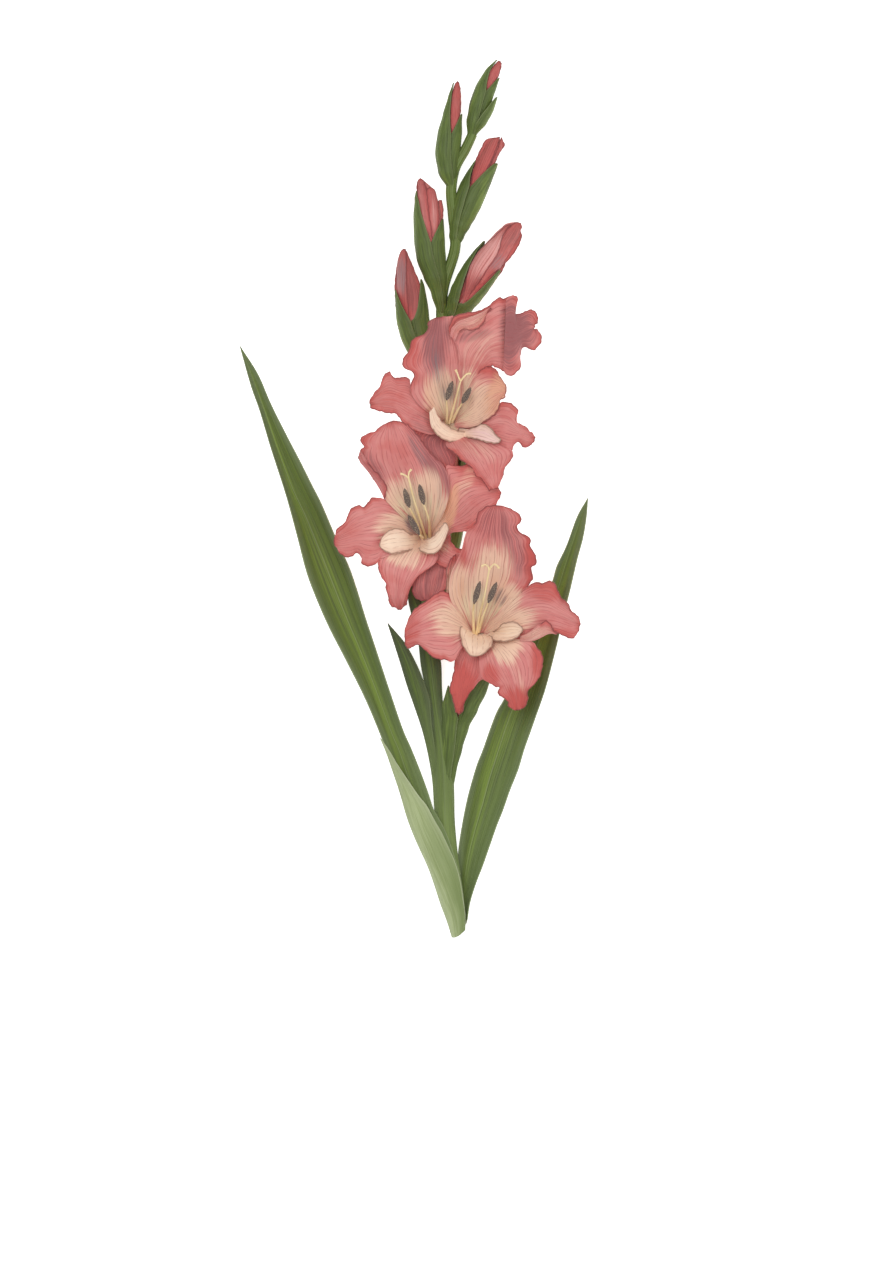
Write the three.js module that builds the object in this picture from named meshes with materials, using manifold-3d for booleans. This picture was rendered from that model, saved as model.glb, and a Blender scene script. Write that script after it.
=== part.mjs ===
// A cut gladiolus lying on its back on a table: one flowering stem with three open blooms,
// six closed buds in their green bracts, and four sword-shaped leaves that clasp the stem.
// Millimetres, +Z up off the table, +Y from the cut end towards the top bud, +X to the right.
// The origin is the middle of the small flat spot under the stem where it rests on the table.
import * as THREE from "three";
import { mergeVertices } from "three/addons/utils/BufferGeometryUtils.js";
import Module from "manifold-3d";

const wasm = await Module();
wasm.setup();

// ---------------------------------------------------------------- driving dimensions, mm
const CUT_LENGTH = 526; // cut end of the stem to the tip of the top bud
const PICTURE_LENGTH = 877; // the same length in the picture, pixels
const LEAF_THICKNESS = 1.0;
const TEPAL_THICKNESS = 0.8;
const BRACT_THICKNESS = 0.7;
const GAP = 0.3; // between neighbouring pieces
const RUFFLE = 1.1; // height of the waves along a tepal's edge
const ANTHER_LENGTH = 12;
const ANTHER_RADIUS = 1.5;
const FILAMENT_RADIUS = 0.7;
const STYLE_RADIUS = 0.8;
const BUD_DEPTH = 0.78; // a bud is this much flatter towards the table than across

// Mesh steps: along and across each blade, and sides round each stalk.
const LEAF_STEPS = [17, 4];
const TEPAL_STEPS = [9, 4];
const LOBE_STEPS = [5, 3];
const VALVE_STEPS = [6, 5];
const STALK_SIDES = 9;
const FINE_STALK_SIDES = 6;
const SMOOTHING = 0.1; // how far a joint may be smoothed to keep the mesh light
const BUD_SIDES = 9;

// ---------------------------------------------------------------- places
// Plan points are picture pixels, [x, y], with a height above the table in mm.
const ORIGIN = [436, 610];
const PIXEL = CUT_LENGTH / PICTURE_LENGTH;
const at = ([px, py, z]) =>
  new THREE.Vector3((px - ORIGIN[0]) * PIXEL, (ORIGIN[1] - py) * PIXEL, z);
const spline = (points) =>
  new THREE.CatmullRomCurve3(points.map(at), false, "catmullrom", 0.5);

// A value that runs smoothly through evenly spaced numbers, for s from 0 to 1.
function through(values, s) {
  const last = values.length - 1;
  const step = Math.min(Math.floor(s * last), last - 1);
  const t = s * last - step;
  const ease = t * t * (3 - 2 * t);
  return values[step] * (1 - ease) + values[step + 1] * ease;
}

// ---------------------------------------------------------------- materials
const finish = (color, roughness) =>
  new THREE.MeshStandardMaterial({ color, roughness, metalness: 0 });
const STEM_GREEN = finish(0x5f7434, 0.6);
const LEAF_GREEN = finish(0x567034, 0.6);
const BRACT_GREEN = finish(0x55703a, 0.6);
const CORAL = finish(0xcb6f6e, 0.7);
const BUD_CORAL = finish(0xc2605f, 0.7);
const CREAM = finish(0xecd9a4, 0.6);
const ANTHER_GREY = finish(0x5b4f5c, 0.8);

// ---------------------------------------------------------------- solids
// A closed surface as a manifold solid, turned to face outwards.
function solid(positions, indices) {
  const geometry = new THREE.BufferGeometry();
  geometry.setAttribute("position", new THREE.Float32BufferAttribute(positions, 3));
  geometry.setIndex(indices);
  const merged = mergeVertices(geometry, 1e-4);
  const vertProperties = merged.attributes.position.array;
  const triVerts = new Uint32Array(merged.index.array);
  let volume = 0;
  const corners = [new THREE.Vector3(), new THREE.Vector3(), new THREE.Vector3()];
  for (let i = 0; i < triVerts.length; i += 3) {
    corners.forEach((c, k) => c.fromArray(vertProperties, 3 * triVerts[i + k]));
    volume += corners[0].dot(corners[1].cross(corners[2]));
  }
  if (volume < 0) {
    for (let i = 0; i < triVerts.length; i += 3) {
      [triVerts[i + 1], triVerts[i + 2]] = [triVerts[i + 2], triVerts[i + 1]];
    }
  }
  return new wasm.Manifold(new wasm.Mesh({ numProp: 3, vertProperties, triVerts }));
}

// A round-ended body through rings of points, each ring an array of Vector3.
function loft(rings) {
  const positions = [];
  const indices = [];
  const sides = rings[0].length;
  rings.forEach((ring) => ring.forEach((p) => positions.push(...p)));
  for (let i = 0; i < rings.length - 1; i++) {
    for (let k = 0; k < sides; k++) {
      const [a, b] = [i * sides + k, i * sides + ((k + 1) % sides)];
      indices.push(a, b, b + sides, a, b + sides, a + sides);
    }
  }
  [0, rings.length - 1].forEach((end) => {
    const centre = new THREE.Vector3();
    rings[end].forEach((p) => centre.addScaledVector(p, 1 / sides));
    const middle = positions.length / 3;
    positions.push(...centre);
    for (let k = 0; k < sides; k++) {
      const [a, b] = [end * sides + k, end * sides + ((k + 1) % sides)];
      indices.push(...(end === 0 ? [middle, b, a] : [middle, a, b]));
    }
  });
  return solid(positions, indices);
}

// The directions across a path at s: one level with the table, one square to it and the path.
function frameAt(path, s) {
  const along = path.getTangentAt(s);
  const over = new THREE.Vector3(1, 0, 0).cross(along).normalize();
  const across = new THREE.Vector3().crossVectors(along, over).normalize();
  return { across, over };
}

// A tapering stalk along a path, radii given evenly along it.
function stalk(points, radii, steps, sides = STALK_SIDES) {
  const path = spline(points);
  const rings = [];
  for (let i = 0; i <= steps; i++) {
    const s = i / steps;
    const { across, over } = frameAt(path, s);
    const radius = through(radii, s);
    rings.push(
      Array.from({ length: sides }, (_, k) => {
        const angle = (2 * Math.PI * k) / sides;
        return path
          .getPointAt(s)
          .addScaledVector(across, radius * Math.cos(angle))
          .addScaledVector(over, radius * Math.sin(angle));
      }),
    );
  }
  return loft(rings);
}

// A thin sheet either side of a surface(u, v), with u from 0 to 1 and v from -1 to 1.
// offset(u, v) raises it along its own normal, for waves and ribs.
function sheet(surface, [along, across], thickness, offset = () => 0) {
  const NUDGE = 0.01;
  const positions = [[], []];
  for (let i = 0; i <= along; i++) {
    for (let j = 0; j <= across; j++) {
      const u = i / along;
      const v = (2 * j) / across - 1;
      const uMid = Math.min(Math.max(u, 2 * NUDGE), 1 - 2 * NUDGE);
      const vMid = Math.min(Math.max(v, -1 + NUDGE), 1 - NUDGE);
      const du = surface(uMid + NUDGE, vMid).sub(surface(uMid - NUDGE, vMid));
      const dv = surface(uMid, vMid + NUDGE).sub(surface(uMid, vMid - NUDGE));
      const normal = dv.cross(du).normalize();
      const point = surface(u, v).addScaledVector(normal, offset(u, v));
      positions[0].push(...point.clone().addScaledVector(normal, thickness / 2));
      positions[1].push(...point.clone().addScaledVector(normal, -thickness / 2));
    }
  }
  const indices = [];
  const row = across + 1;
  const under = (along + 1) * row;
  for (let i = 0; i < along; i++) {
    for (let j = 0; j < across; j++) {
      const a = i * row + j;
      indices.push(a, a + 1, a + row + 1, a, a + row + 1, a + row);
      indices.push(under + a, under + a + row + 1, under + a + 1);
      indices.push(under + a, under + a + row, under + a + row + 1);
    }
  }
  const rim = [];
  for (let j = 0; j < across; j++) rim.push(j);
  for (let i = 0; i < along; i++) rim.push(i * row + across);
  for (let j = across; j > 0; j--) rim.push(along * row + j);
  for (let i = along; i > 0; i--) rim.push(i * row);
  rim.forEach((a, k) => {
    const b = rim[(k + 1) % rim.length];
    indices.push(a, under + b, b, a, under + a, under + b);
  });
  return solid([...positions[0], ...positions[1]], indices);
}

// The surface through a blade's two edges and its rib.
function blade({ left, rib, right }) {
  const [l, m, r] = [left, rib, right].map(spline);
  return (u, v) => {
    const [pl, pm, pr] = [l, m, r].map((curve) => curve.getPointAt(u));
    return pm
      .multiplyScalar(1 - v * v)
      .addScaledVector(pl, (v * v - v) / 2)
      .addScaledVector(pr, (v * v + v) / 2);
  };
}

const meshes = new THREE.Group();

// Adds a finished solid to the part under its own name.
function add(name, body, material) {
  const { vertProperties, triVerts, numProp } = largest(body.simplify(SMOOTHING)).getMesh();
  const geometry = new THREE.BufferGeometry();
  const positions = new Float32Array((vertProperties.length / numProp) * 3);
  for (let i = 0; i < positions.length / 3; i++) {
    positions.set(vertProperties.subarray(i * numProp, i * numProp + 3), i * 3);
  }
  geometry.setAttribute("position", new THREE.BufferAttribute(positions, 3));
  geometry.setIndex(new THREE.BufferAttribute(triVerts, 1));
  const mesh = new THREE.Mesh(geometry, material);
  mesh.name = name;
  meshes.add(mesh);
}

// Everything below the table's surface is cut away, which leaves the flat spots it rests on.
const table = (() => {
  const box = new THREE.BoxGeometry(1000, 1000, 40).translate(0, 0, -20);
  return solid([...box.attributes.position.array], [...box.index.array]);
})();

// The largest body of a solid that a cut may have left in pieces.
function largest(body) {
  const bodies = body.decompose();
  return bodies.reduce((a, b) => (a.volume() > b.volume() ? a : b));
}

// ---------------------------------------------------------------- stem
const STEM_PATH = [
  [459, 932, 4.6], [455, 905, 5.0], [450, 880, 5.4], [445, 845, 5.6], [443.5, 810, 5.6],
  [443, 760, 5.4], [439, 725, 5.0], [434, 690, 4.5], [432, 650, 4.1], [436, 610, 3.7],
  [446, 570, 4.0], [456, 535, 4.4], [460, 490, 5.0], [458, 430, 5.8], [450, 375, 6.6],
  [442, 330, 7.1], [443, 290, 7.4], [455, 248, 7.6], [453, 215, 7.6], [451, 190, 7.6],
  [455, 168, 7.6], [465, 150, 7.6], [472.5, 134, 7.8],
];
const STEM_RADII = [3.3, 4.5, 4.8, 4.6, 4.4, 4.2, 4.1, 3.9, 3.6, 3.4, 3.2, 3.0, 2.9, 2.8, 2.6];
const STEM_STEPS = 22;
const stem = stalk(STEM_PATH, STEM_RADII, STEM_STEPS);
const stemAndGap = stalk(STEM_PATH, STEM_RADII.map((r) => r + GAP), STEM_STEPS);
add("stem", stem.subtract(table), STEM_GREEN);

// ---------------------------------------------------------------- leaves
const LONG_LEFT_LEAF = {
  left: [
    [452, 937, 4.5], [449, 922, 4.5], [442, 903, 4.5], [435, 883, 4.5], [428, 865, 4.5],
    [420, 849, 4.5], [413, 833, 4.5], [407, 817, 4.5], [400, 793, 4.5], [393, 772, 4.5],
    [386, 752, 4.5], [379, 736, 4.5], [363, 698, 4.2], [345, 661, 4.0], [329, 627, 4.0],
    [315, 595, 4.0], [306, 570, 4.0], [297, 535, 3.8], [285, 491, 3.4], [271, 448, 2.8],
    [260, 411, 2.2], [251, 386, 1.6], [240, 347, 0.9],
  ],
  rib: [
    [459, 934, 9.4], [457, 915, 10.4], [453, 900, 11.4], [448, 881, 12.8], [440, 862, 12.8],
    [433, 846, 12.0], [425, 825, 10.6], [419, 808, 9.0], [413, 790, 7.4], [406, 770, 5.4],
    [399, 750, 3.6], [391, 731, 2.6], [376, 690, 1.4], [361, 652, 0.8], [345, 614, 0.5],
    [333, 584, 0.4], [322, 556, 0.4], [306, 517, 0.4], [292, 487, 0.4], [278, 450, 0.4],
    [266, 415, 0.4], [255, 384, 0.5], [240.4, 346, 0.8],
  ],
  right: [
    [465, 930, 7.0], [464.5, 912, 8.0], [463.5, 900, 9.4], [461, 880, 12.6], [455, 858, 13.0],
    [446, 832, 13.0], [437, 815, 12.4], [433, 808, 11.6], [428, 792, 9.4], [420, 770, 7.0],
    [411, 748, 6.0], [403, 730, 5.5], [392, 698, 5.0], [377, 645, 5.0], [368, 618, 5.0],
    [359, 590, 5.0], [349, 567, 5.0], [338, 543, 4.6], [322, 505, 4.2], [313, 487, 3.8],
    [299, 459, 3.2], [287, 436, 2.7], [271, 404, 2.1], [258, 374, 1.5], [240.8, 347, 0.9],
  ],
};
// The folded-over side of the long left leaf, which shows the leaf's pale back.
const LEFT_LEAF_FOLD = {
  left: [
    [452, 937, 5.1], [449, 922, 5.1], [442, 903, 5.1], [435, 883, 5.1], [428, 865, 5.1],
    [420, 849, 5.1], [413, 833, 5.1], [407, 817, 5.1], [400, 793, 5.1], [393, 772, 5.1],
    [386, 752, 5.0], [380, 738, 4.9],
  ],
  rib: [
    [458, 936, 10.4], [455, 915, 11.8], [449, 898, 13.0], [441, 878, 13.8], [434, 862, 13.6],
    [427, 845, 12.8], [420, 829, 11.6], [414, 812, 10.2], [408, 797, 9.2], [402, 783, 8.2],
    [395, 768, 7.0], [388, 752, 5.9], [380.4, 738, 5.1],
  ],
  right: [
    [465, 929, 9.0], [465, 915, 10.0], [463, 900, 11.4], [460, 880, 13.2], [455, 862, 14.4],
    [449, 848, 14.6], [442, 833, 14.4], [434, 819, 13.6], [427, 806, 12.3], [419, 796, 10.9],
    [410, 783, 9.5], [398, 765, 7.5], [389, 750, 6.2], [380.8, 738, 5.2],
  ],
};
const LONG_RIGHT_LEAF = {
  left: [
    [462, 927, 1.4], [459, 905, 1.3], [457, 880, 1.6], [458, 856, 2.0], [461, 832, 2.6],
    [466, 805, 3.0], [471, 785, 3.4], [477, 765, 3.8], [483, 750, 4.0], [490, 730, 4.0],
    [497, 712, 4.0], [505, 698, 4.0], [519, 668, 4.0], [533, 635, 4.0], [545, 603, 4.0],
    [553, 580, 3.6], [557, 566, 3.3], [567, 545, 2.8], [577, 517, 2.0], [587.2, 499, 0.9],
  ],
  rib: [
    [465, 925, 2.4], [464, 905, 2.0], [465, 880, 1.4], [469, 855, 1.0], [475, 830, 0.8],
    [482, 806, 0.6], [489, 780, 0.5], [497, 755, 0.4], [505, 730, 0.4], [513, 708, 0.4],
    [528, 670, 0.4], [541, 635, 0.4], [551, 608, 0.4], [559, 585, 0.4], [566, 562, 0.4],
    [575, 535, 0.4], [587.6, 498, 0.8],
  ],
  right: [
    [467, 920, 4.2], [470, 902, 4.5], [476, 883, 4.6], [483, 865, 4.6], [490, 845, 4.6],
    [497, 825, 4.6], [503, 810, 4.6], [510, 790, 4.6], [518, 770, 4.6], [524, 750, 4.6],
    [530, 733, 4.6], [536, 716, 4.6], [545, 690, 4.6], [553, 660, 4.5], [559, 635, 4.4],
    [564, 613, 4.0], [570, 590, 3.6], [577, 560, 3.0], [583, 538, 2.4], [586.5, 517, 1.6],
    [588, 499, 0.9],
  ],
};
const SHORT_LEFT_LEAF = {
  left: [
    [433, 824, 4.6], [431, 803, 3.8], [429.5, 780, 3.8], [427, 755, 4.8], [422, 730, 5.6], [414, 705, 6.0],
    [407, 685, 6.0], [401, 665, 6.0], [394, 643, 6.0], [387.6, 624, 6.2],
  ],
  rib: [
    [434, 824, 7.4], [432.6, 803, 6.6], [431.6, 780, 6.6], [429.6, 752, 7.0], [426, 727, 8.0],
    [421, 703, 8.8],
    [415.5, 683, 9.3], [409, 665, 9.0], [399.5, 643, 8.0], [388, 623, 6.4],
  ],
  right: [
    [436.5, 824, 9.6], [435.5, 803, 9.5], [435, 780, 9.6], [434, 750, 9.8], [432, 725, 10.8],
    [430, 700, 11.4],
    [424, 682, 11.0], [417, 665, 10.5], [405, 643, 9.0], [388.6, 624, 6.4],
  ],
};
const MIDDLE_LEAF = {
  left: [
    [444, 870, 8.0], [438, 845, 7.0], [435, 820, 6.0], [434.5, 795, 5.6], [433.5, 770, 5.6],
    [433, 745, 6.4], [431, 715, 7.4], [426, 690, 7.4], [421, 665, 7.4], [418, 640, 7.6],
    [411, 613, 7.6], [408, 598, 7.8], [407.6, 580, 8.0],
  ],
  rib: [
    [452, 872, 11.2], [447, 845, 11.3], [445, 820, 11.2], [444.5, 795, 11.2],
    [443.5, 770, 11.2], [441, 745, 11.1], [437, 715, 10.8], [434, 690, 10.5],
    [431, 665, 10.2], [427, 640, 9.8], [419, 611, 9.0], [413, 596, 8.6], [408, 579, 8.2],
  ],
  right: [
    [460.5, 874, 7.4], [457, 850, 7.0], [454.5, 820, 6.4], [454, 795, 6.6], [453, 770, 8.0],
    [449.5, 745, 10.4], [444, 715, 11.0], [442, 690, 10.2], [441, 662, 9.6], [436, 640, 9.4],
    [427, 611, 9.0], [418, 594, 8.6], [408.6, 579, 8.2],
  ],
};
const RIB_HEIGHT = 0.35; // the raised rib down the middle of a leaf
const RIB_WIDTH = 0.18; // as a share of the half width
const ribbed = (u, v) => RIB_HEIGHT * Math.exp(-((v / RIB_WIDTH) ** 2)) * (1 - u);
const leaf = (shape, steps = LEAF_STEPS) => sheet(blade(shape), steps, LEAF_THICKNESS, ribbed);

const longLeft = leaf(LONG_LEFT_LEAF).add(
  sheet(blade(LEFT_LEAF_FOLD), [11, 3], LEAF_THICKNESS),
);
add("leaf_long_left", longLeft.subtract(stemAndGap).subtract(table), LEAF_GREEN);
const longRight = leaf(LONG_RIGHT_LEAF);
add("leaf_long_right", longRight.subtract(stemAndGap).subtract(table), LEAF_GREEN);
const shortLeft = leaf(SHORT_LEFT_LEAF, [14, 4]);
add("leaf_short_left", shortLeft.subtract(stemAndGap), LEAF_GREEN);
const middle = leaf(MIDDLE_LEAF, [16, 4]);
const middleAndGap = sheet(blade(MIDDLE_LEAF), [16, 4], LEAF_THICKNESS + 2 * GAP);
add("leaf_middle", middle.subtract(stemAndGap), LEAF_GREEN);

// ---------------------------------------------------------------- bracts
// A bract valve wraps part of the way round an axis and ends in a point.
//   radius(s)   distance from the axis, mm
//   side        angle of its middle, degrees, 0 on the right and 90 facing up
//   tip         share of the axis where it ends
//   notch       share of the axis where its half angle has fallen to 90 degrees
function valve({ axis, radius, side, tip, notch, wrap }) {
  const path = spline(axis);
  const TIP_ANGLE = 4;
  const surface = (u, v) => {
    const beyond = Math.max(0, 2 * u - 1);
    const before = Math.max(0, 1 - 2 * u);
    const s = notch * (1 - before) + (tip - notch) * beyond;
    const point = Math.max(THREE.MathUtils.radToDeg(Math.acos(beyond)), TIP_ANGLE);
    const half = s > notch ? point : 90 + (wrap - 90) * before;
    const angle = THREE.MathUtils.degToRad(side + v * half);
    const { across, over } = frameAt(path, s);
    return path
      .getPointAt(s)
      .addScaledVector(across, radius(s) * Math.cos(angle))
      .addScaledVector(over, radius(s) * BUD_DEPTH * Math.sin(angle));
  };
  return sheet(surface, VALVE_STEPS, BRACT_THICKNESS);
}

// ---------------------------------------------------------------- buds
// Each bud has a closed coral flower, pointed and lightly twisted, held by an outer bract on
// its left and an inner bract on its right. Half widths are even along the axis, in pixels.
const BUDS = {
  bud_1_left: {
    axis: [
      [448, 384, 10.0], [435, 367, 11.0], [421, 348, 10.8], [414, 325, 10.2], [411, 305, 9.8],
      [408, 285, 9.6], [405, 265, 9.2], [404, 249, 9.0],
    ],
    halfWidths: [0, 4, 9.5, 12.5, 13.6, 13, 9, 1.5],
    notch: 0.5, leftTip: 0.74, rightTip: 0.77,
  },
  bud_2_right: {
    axis: [
      [447, 325, 7.6], [457, 309, 8.4], [467, 291, 9.2], [481, 269, 9.6], [497, 247, 9.6],
      [510, 232, 9.4], [519, 223, 9.0],
    ],
    halfWidths: [0, 4, 8.5, 11.5, 13.4, 14, 13.8, 13, 11.8, 10, 3],
    notch: 0.2, leftTip: 0.72, rightTip: 0.69,
  },
  bud_3_left: {
    axis: [
      [442, 313, 8.0], [440, 298, 8.4], [436.5, 280, 9.0], [431.5, 260, 9.4],
      [429.5, 240, 9.4], [429, 215, 9.2], [427, 195, 9.0], [421, 179, 8.6],
    ],
    halfWidths: [0, 4, 9, 12, 12.4, 12.2, 10, 2.5],
    notch: 0.52, leftTip: 0.93, rightTip: 0.69,
  },
  bud_4_right: {
    axis: [
      [456, 247, 7.7], [462, 226, 7.5], [470, 206, 7.4], [478, 187, 7.3], [486, 168, 7.4],
      [493, 151, 7.3], [499, 138, 7.2],
    ],
    halfWidths: [0, 3.5, 7, 9.2, 10.4, 10.4, 10.2, 9.6, 9, 8, 3],
    notch: 0.52, leftTip: 0.76, rightTip: 0.76,
  },
  bud_5_left: {
    axis: [
      [453, 188, 8.0], [450, 173, 8.2], [449, 155, 8.2], [451, 135, 8.2], [454, 112, 8.0],
      [456.5, 95, 7.8], [457.5, 81, 7.6],
    ],
    halfWidths: [0, 7, 9.2, 8.4, 6.4, 4.8, 1.4],
    notch: 0.5, leftTip: 0.98, rightTip: 0.7,
  },
  bud_6_top: {
    axis: [
      [471, 140, 7.8], [475, 126, 8.0], [480.5, 108, 7.9], [486.5, 90, 7.8], [493, 75, 7.6],
      [500.5, 61, 7.4],
    ],
    halfWidths: [1, 5.8, 7.6, 6.8, 4.8, 1.2],
    notch: 0.56, leftTip: 0.99, rightTip: 0.8,
  },
};
const COROLLA_START = 0.17; // share of the axis where the closed flower begins
const CREASES = 3; // tepals showing round a closed flower
const CREASE_DEPTH = 0.07;
const CREASE_TWIST = 2.4; // radians, base to tip
const BUD_STEPS = 7;
const INNER_CLEAR = GAP + BRACT_THICKNESS / 2 + 0.45; // inner bract off the closed flower
const OUTER_CLEAR = INNER_CLEAR + BRACT_THICKNESS + GAP + 0.25;
const BRACT_WRAP = 112; // degrees either side of a bract's middle, at its foot
// How far a bract stands off its flower, which its point is pressed against.
const standOff = (s, notch, tip, clear) =>
  clear - (clear - INNER_CLEAR) * THREE.MathUtils.clamp((s - notch) / (tip - notch), 0, 1);

for (const [name, bud] of Object.entries(BUDS)) {
  const path = spline(bud.axis);
  const halfWidth = (s) => through(bud.halfWidths, s) * PIXEL;
  const rings = [];
  for (let i = 0; i <= BUD_STEPS; i++) {
    const s = COROLLA_START + ((1 - COROLLA_START) * i) / BUD_STEPS;
    const { across, over } = frameAt(path, s);
    rings.push(
      Array.from({ length: BUD_SIDES }, (_, k) => {
        const angle = (2 * Math.PI * k) / BUD_SIDES;
        const crease = CREASE_DEPTH * (1 - Math.cos(CREASES * angle + CREASE_TWIST * s));
        const radius = halfWidth(s) * (1 - crease);
        return path
          .getPointAt(s)
          .addScaledVector(across, radius * Math.cos(angle))
          .addScaledVector(over, radius * BUD_DEPTH * Math.sin(angle));
      }),
    );
  }
  add(name + "_flower", loft(rings).subtract(stemAndGap), BUD_CORAL);
  const bract = (side, tip, clear) => {
    const radius = (s) => halfWidth(s) + standOff(s, bud.notch, tip, clear) / BUD_DEPTH;
    const shape = { axis: bud.axis, radius, side, tip, notch: bud.notch, wrap: BRACT_WRAP };
    return valve(shape).subtract(stemAndGap).subtract(table);
  };
  add(name + "_bract_outer", bract(180, bud.leftTip, OUTER_CLEAR), BRACT_GREEN);
  add(name + "_bract_inner", bract(0, bud.rightTip, INNER_CLEAR), BRACT_GREEN);
  if (name === "bud_6_top") {
    // A third, small bract stands outside the other two on the topmost bud.
    const radius = (s) => halfWidth(s) + (OUTER_CLEAR + 1.4) / BUD_DEPTH;
    const shape = { axis: bud.axis, radius, side: 24, tip: 0.54, notch: 0.06, wrap: 92 };
    add(name + "_bract_small", valve(shape).subtract(stemAndGap), BRACT_GREEN);
  }
}

// ---------------------------------------------------------------- open blooms
// A bloom is a funnel of tepals joined at the throat, with pale lobes standing in front of it.
// Every tepal runs from the throat to its rim: one edge, its rib, its other edge.
const LOW_BLOOM = {
  tube: [
    [453, 745, 9], [458, 720, 10.5], [465, 695, 11.5], [472, 668, 12], [477, 648, 13.5],
    [478.5, 636, 17.5], [478.5, 633, 21.6],
  ],
  tepals: {
    hood: {
      left: [
        [470, 628, 20], [462, 600, 33], [463, 570, 44], [458, 545, 50], [463, 532, 53],
        [474, 526, 55], [479, 513, 57], [486, 508, 58],
      ],
      rib: [[477, 632, 20], [483, 600, 31], [489, 560, 43], [492, 530, 53], [495, 505, 58]],
      right: [
        [486, 632, 20], [503, 612, 36], [517, 595, 46], [532, 580, 50], [535, 562, 53],
        [528, 541, 54], [517, 530, 56], [520, 518, 57], [507, 508, 58],
      ],
    },
    upper_left: {
      left: [
        [470, 630, 20], [455, 612, 36], [447, 595, 44], [445, 580, 47], [441, 567, 48],
        [440, 558, 48],
      ],
      rib: [[472, 628, 20], [462, 605, 35], [452, 580, 46], [447, 560, 49]],
      right: [[474, 626, 20], [470, 600, 34], [467, 575, 45], [463, 555, 50], [456, 549, 51]],
    },
    left_wing: {
      left: [
        [470, 628, 21], [455, 608, 38], [440, 597, 44], [425, 599, 46], [412, 610, 44],
        [406, 622, 41],
      ],
      rib: [[474, 634, 20], [458, 628, 34], [440, 625, 42], [420, 628, 44], [404, 636, 40]],
      right: [
        [474, 637, 21], [462, 645, 36], [455, 658, 42], [441, 660, 42], [428, 653, 41],
        [419, 645, 40], [407, 648, 38],
      ],
    },
    right_wing: {
      left: [
        [484, 628, 20], [499, 611, 35], [513, 596, 43], [527, 583, 48], [548, 581, 50],
        [558, 595, 48], [569, 605, 46], [578, 617, 42],
      ],
      rib: [
        [484, 634, 20], [505, 622, 34], [525, 612, 42], [545, 610, 45], [562, 617, 43],
        [579, 627, 40],
      ],
      right: [
        [486, 637, 20], [505, 640, 33], [523, 641, 38], [536, 640, 40], [550, 633, 42],
        [566, 636, 41], [573, 639, 39],
      ],
    },
    lip: {
      left: [
        [480, 638, 20], [486, 655, 32], [487, 670, 37], [489, 683, 37], [498, 692, 36],
        [505, 700, 33], [513, 709, 31],
      ],
      rib: [[484, 637, 20], [497, 650, 33], [508, 670, 38], [515, 690, 36], [519, 709, 31]],
      right: [
        [488, 636, 20], [508, 640, 33], [525, 639, 38], [537, 648, 39], [543, 661, 38],
        [538, 677, 37], [530, 690, 35], [526, 706, 32],
      ],
    },
    pointed: {
      left: [[474, 638, 20], [463, 650, 27], [455, 664, 29], [450, 690, 29], [456, 708, 27]],
      rib: [[478, 638, 20], [472, 652, 27], [465, 682, 29], [459, 714, 26]],
      right: [
        [482, 638, 20], [486, 655, 28], [489, 672, 30], [483, 683, 30], [470, 693, 29],
        [462, 709, 27],
      ],
    },
  },
  lobes: {
    left: {
      left: [[473, 634, 19.5], [463, 637, 34], [461, 647, 41], [468, 655, 43]],
      rib: [[478, 637, 19.5], [475, 644, 34], [473, 657, 43]],
      right: [[484, 637, 19.5], [490, 641, 34], [489, 650, 41], [479, 657, 43]],
    },
    right: {
      left: [[484, 637, 19.5], [493, 643, 35], [504, 645, 43], [514, 643, 45]],
      rib: [[486, 633, 19.5], [503, 632, 38], [521, 632, 47]],
      right: [[486, 629, 20], [499, 623, 39], [510, 620, 46], [521, 627, 48]],
    },
  },
  style: [[478, 634, 22.1], [481, 618, 33], [486, 595, 46], [491, 568, 52]],
  branches: [[[484, 566, 53], [480, 570, 53]], [[497, 566, 53], [501, 571, 53]]],
  stamens: {
    left: { filament: [[475, 632, 22.1], [475, 615, 36], [477, 600, 45]], tip: [479.5, 583, 49] },
    right: { filament: [[481, 631, 22.1], [486, 614, 37], [490, 600, 45]], tip: [497, 583, 49] },
  },
  bracts: {
    axis: [
      [446.5, 788, 6.2], [449.5, 768, 7.4], [453, 748, 8.8], [456.5, 725, 10],
      [462, 703, 11.5], [469, 682, 13],
      [475, 662, 14.5], [479, 645, 16],
    ],
    halfWidths: [4, 4.6, 6.6, 9.8, 14.4, 17, 17, 16],
    notch: 0.49, leftTip: 0.67, rightTip: 0.91,
  },
};
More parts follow.
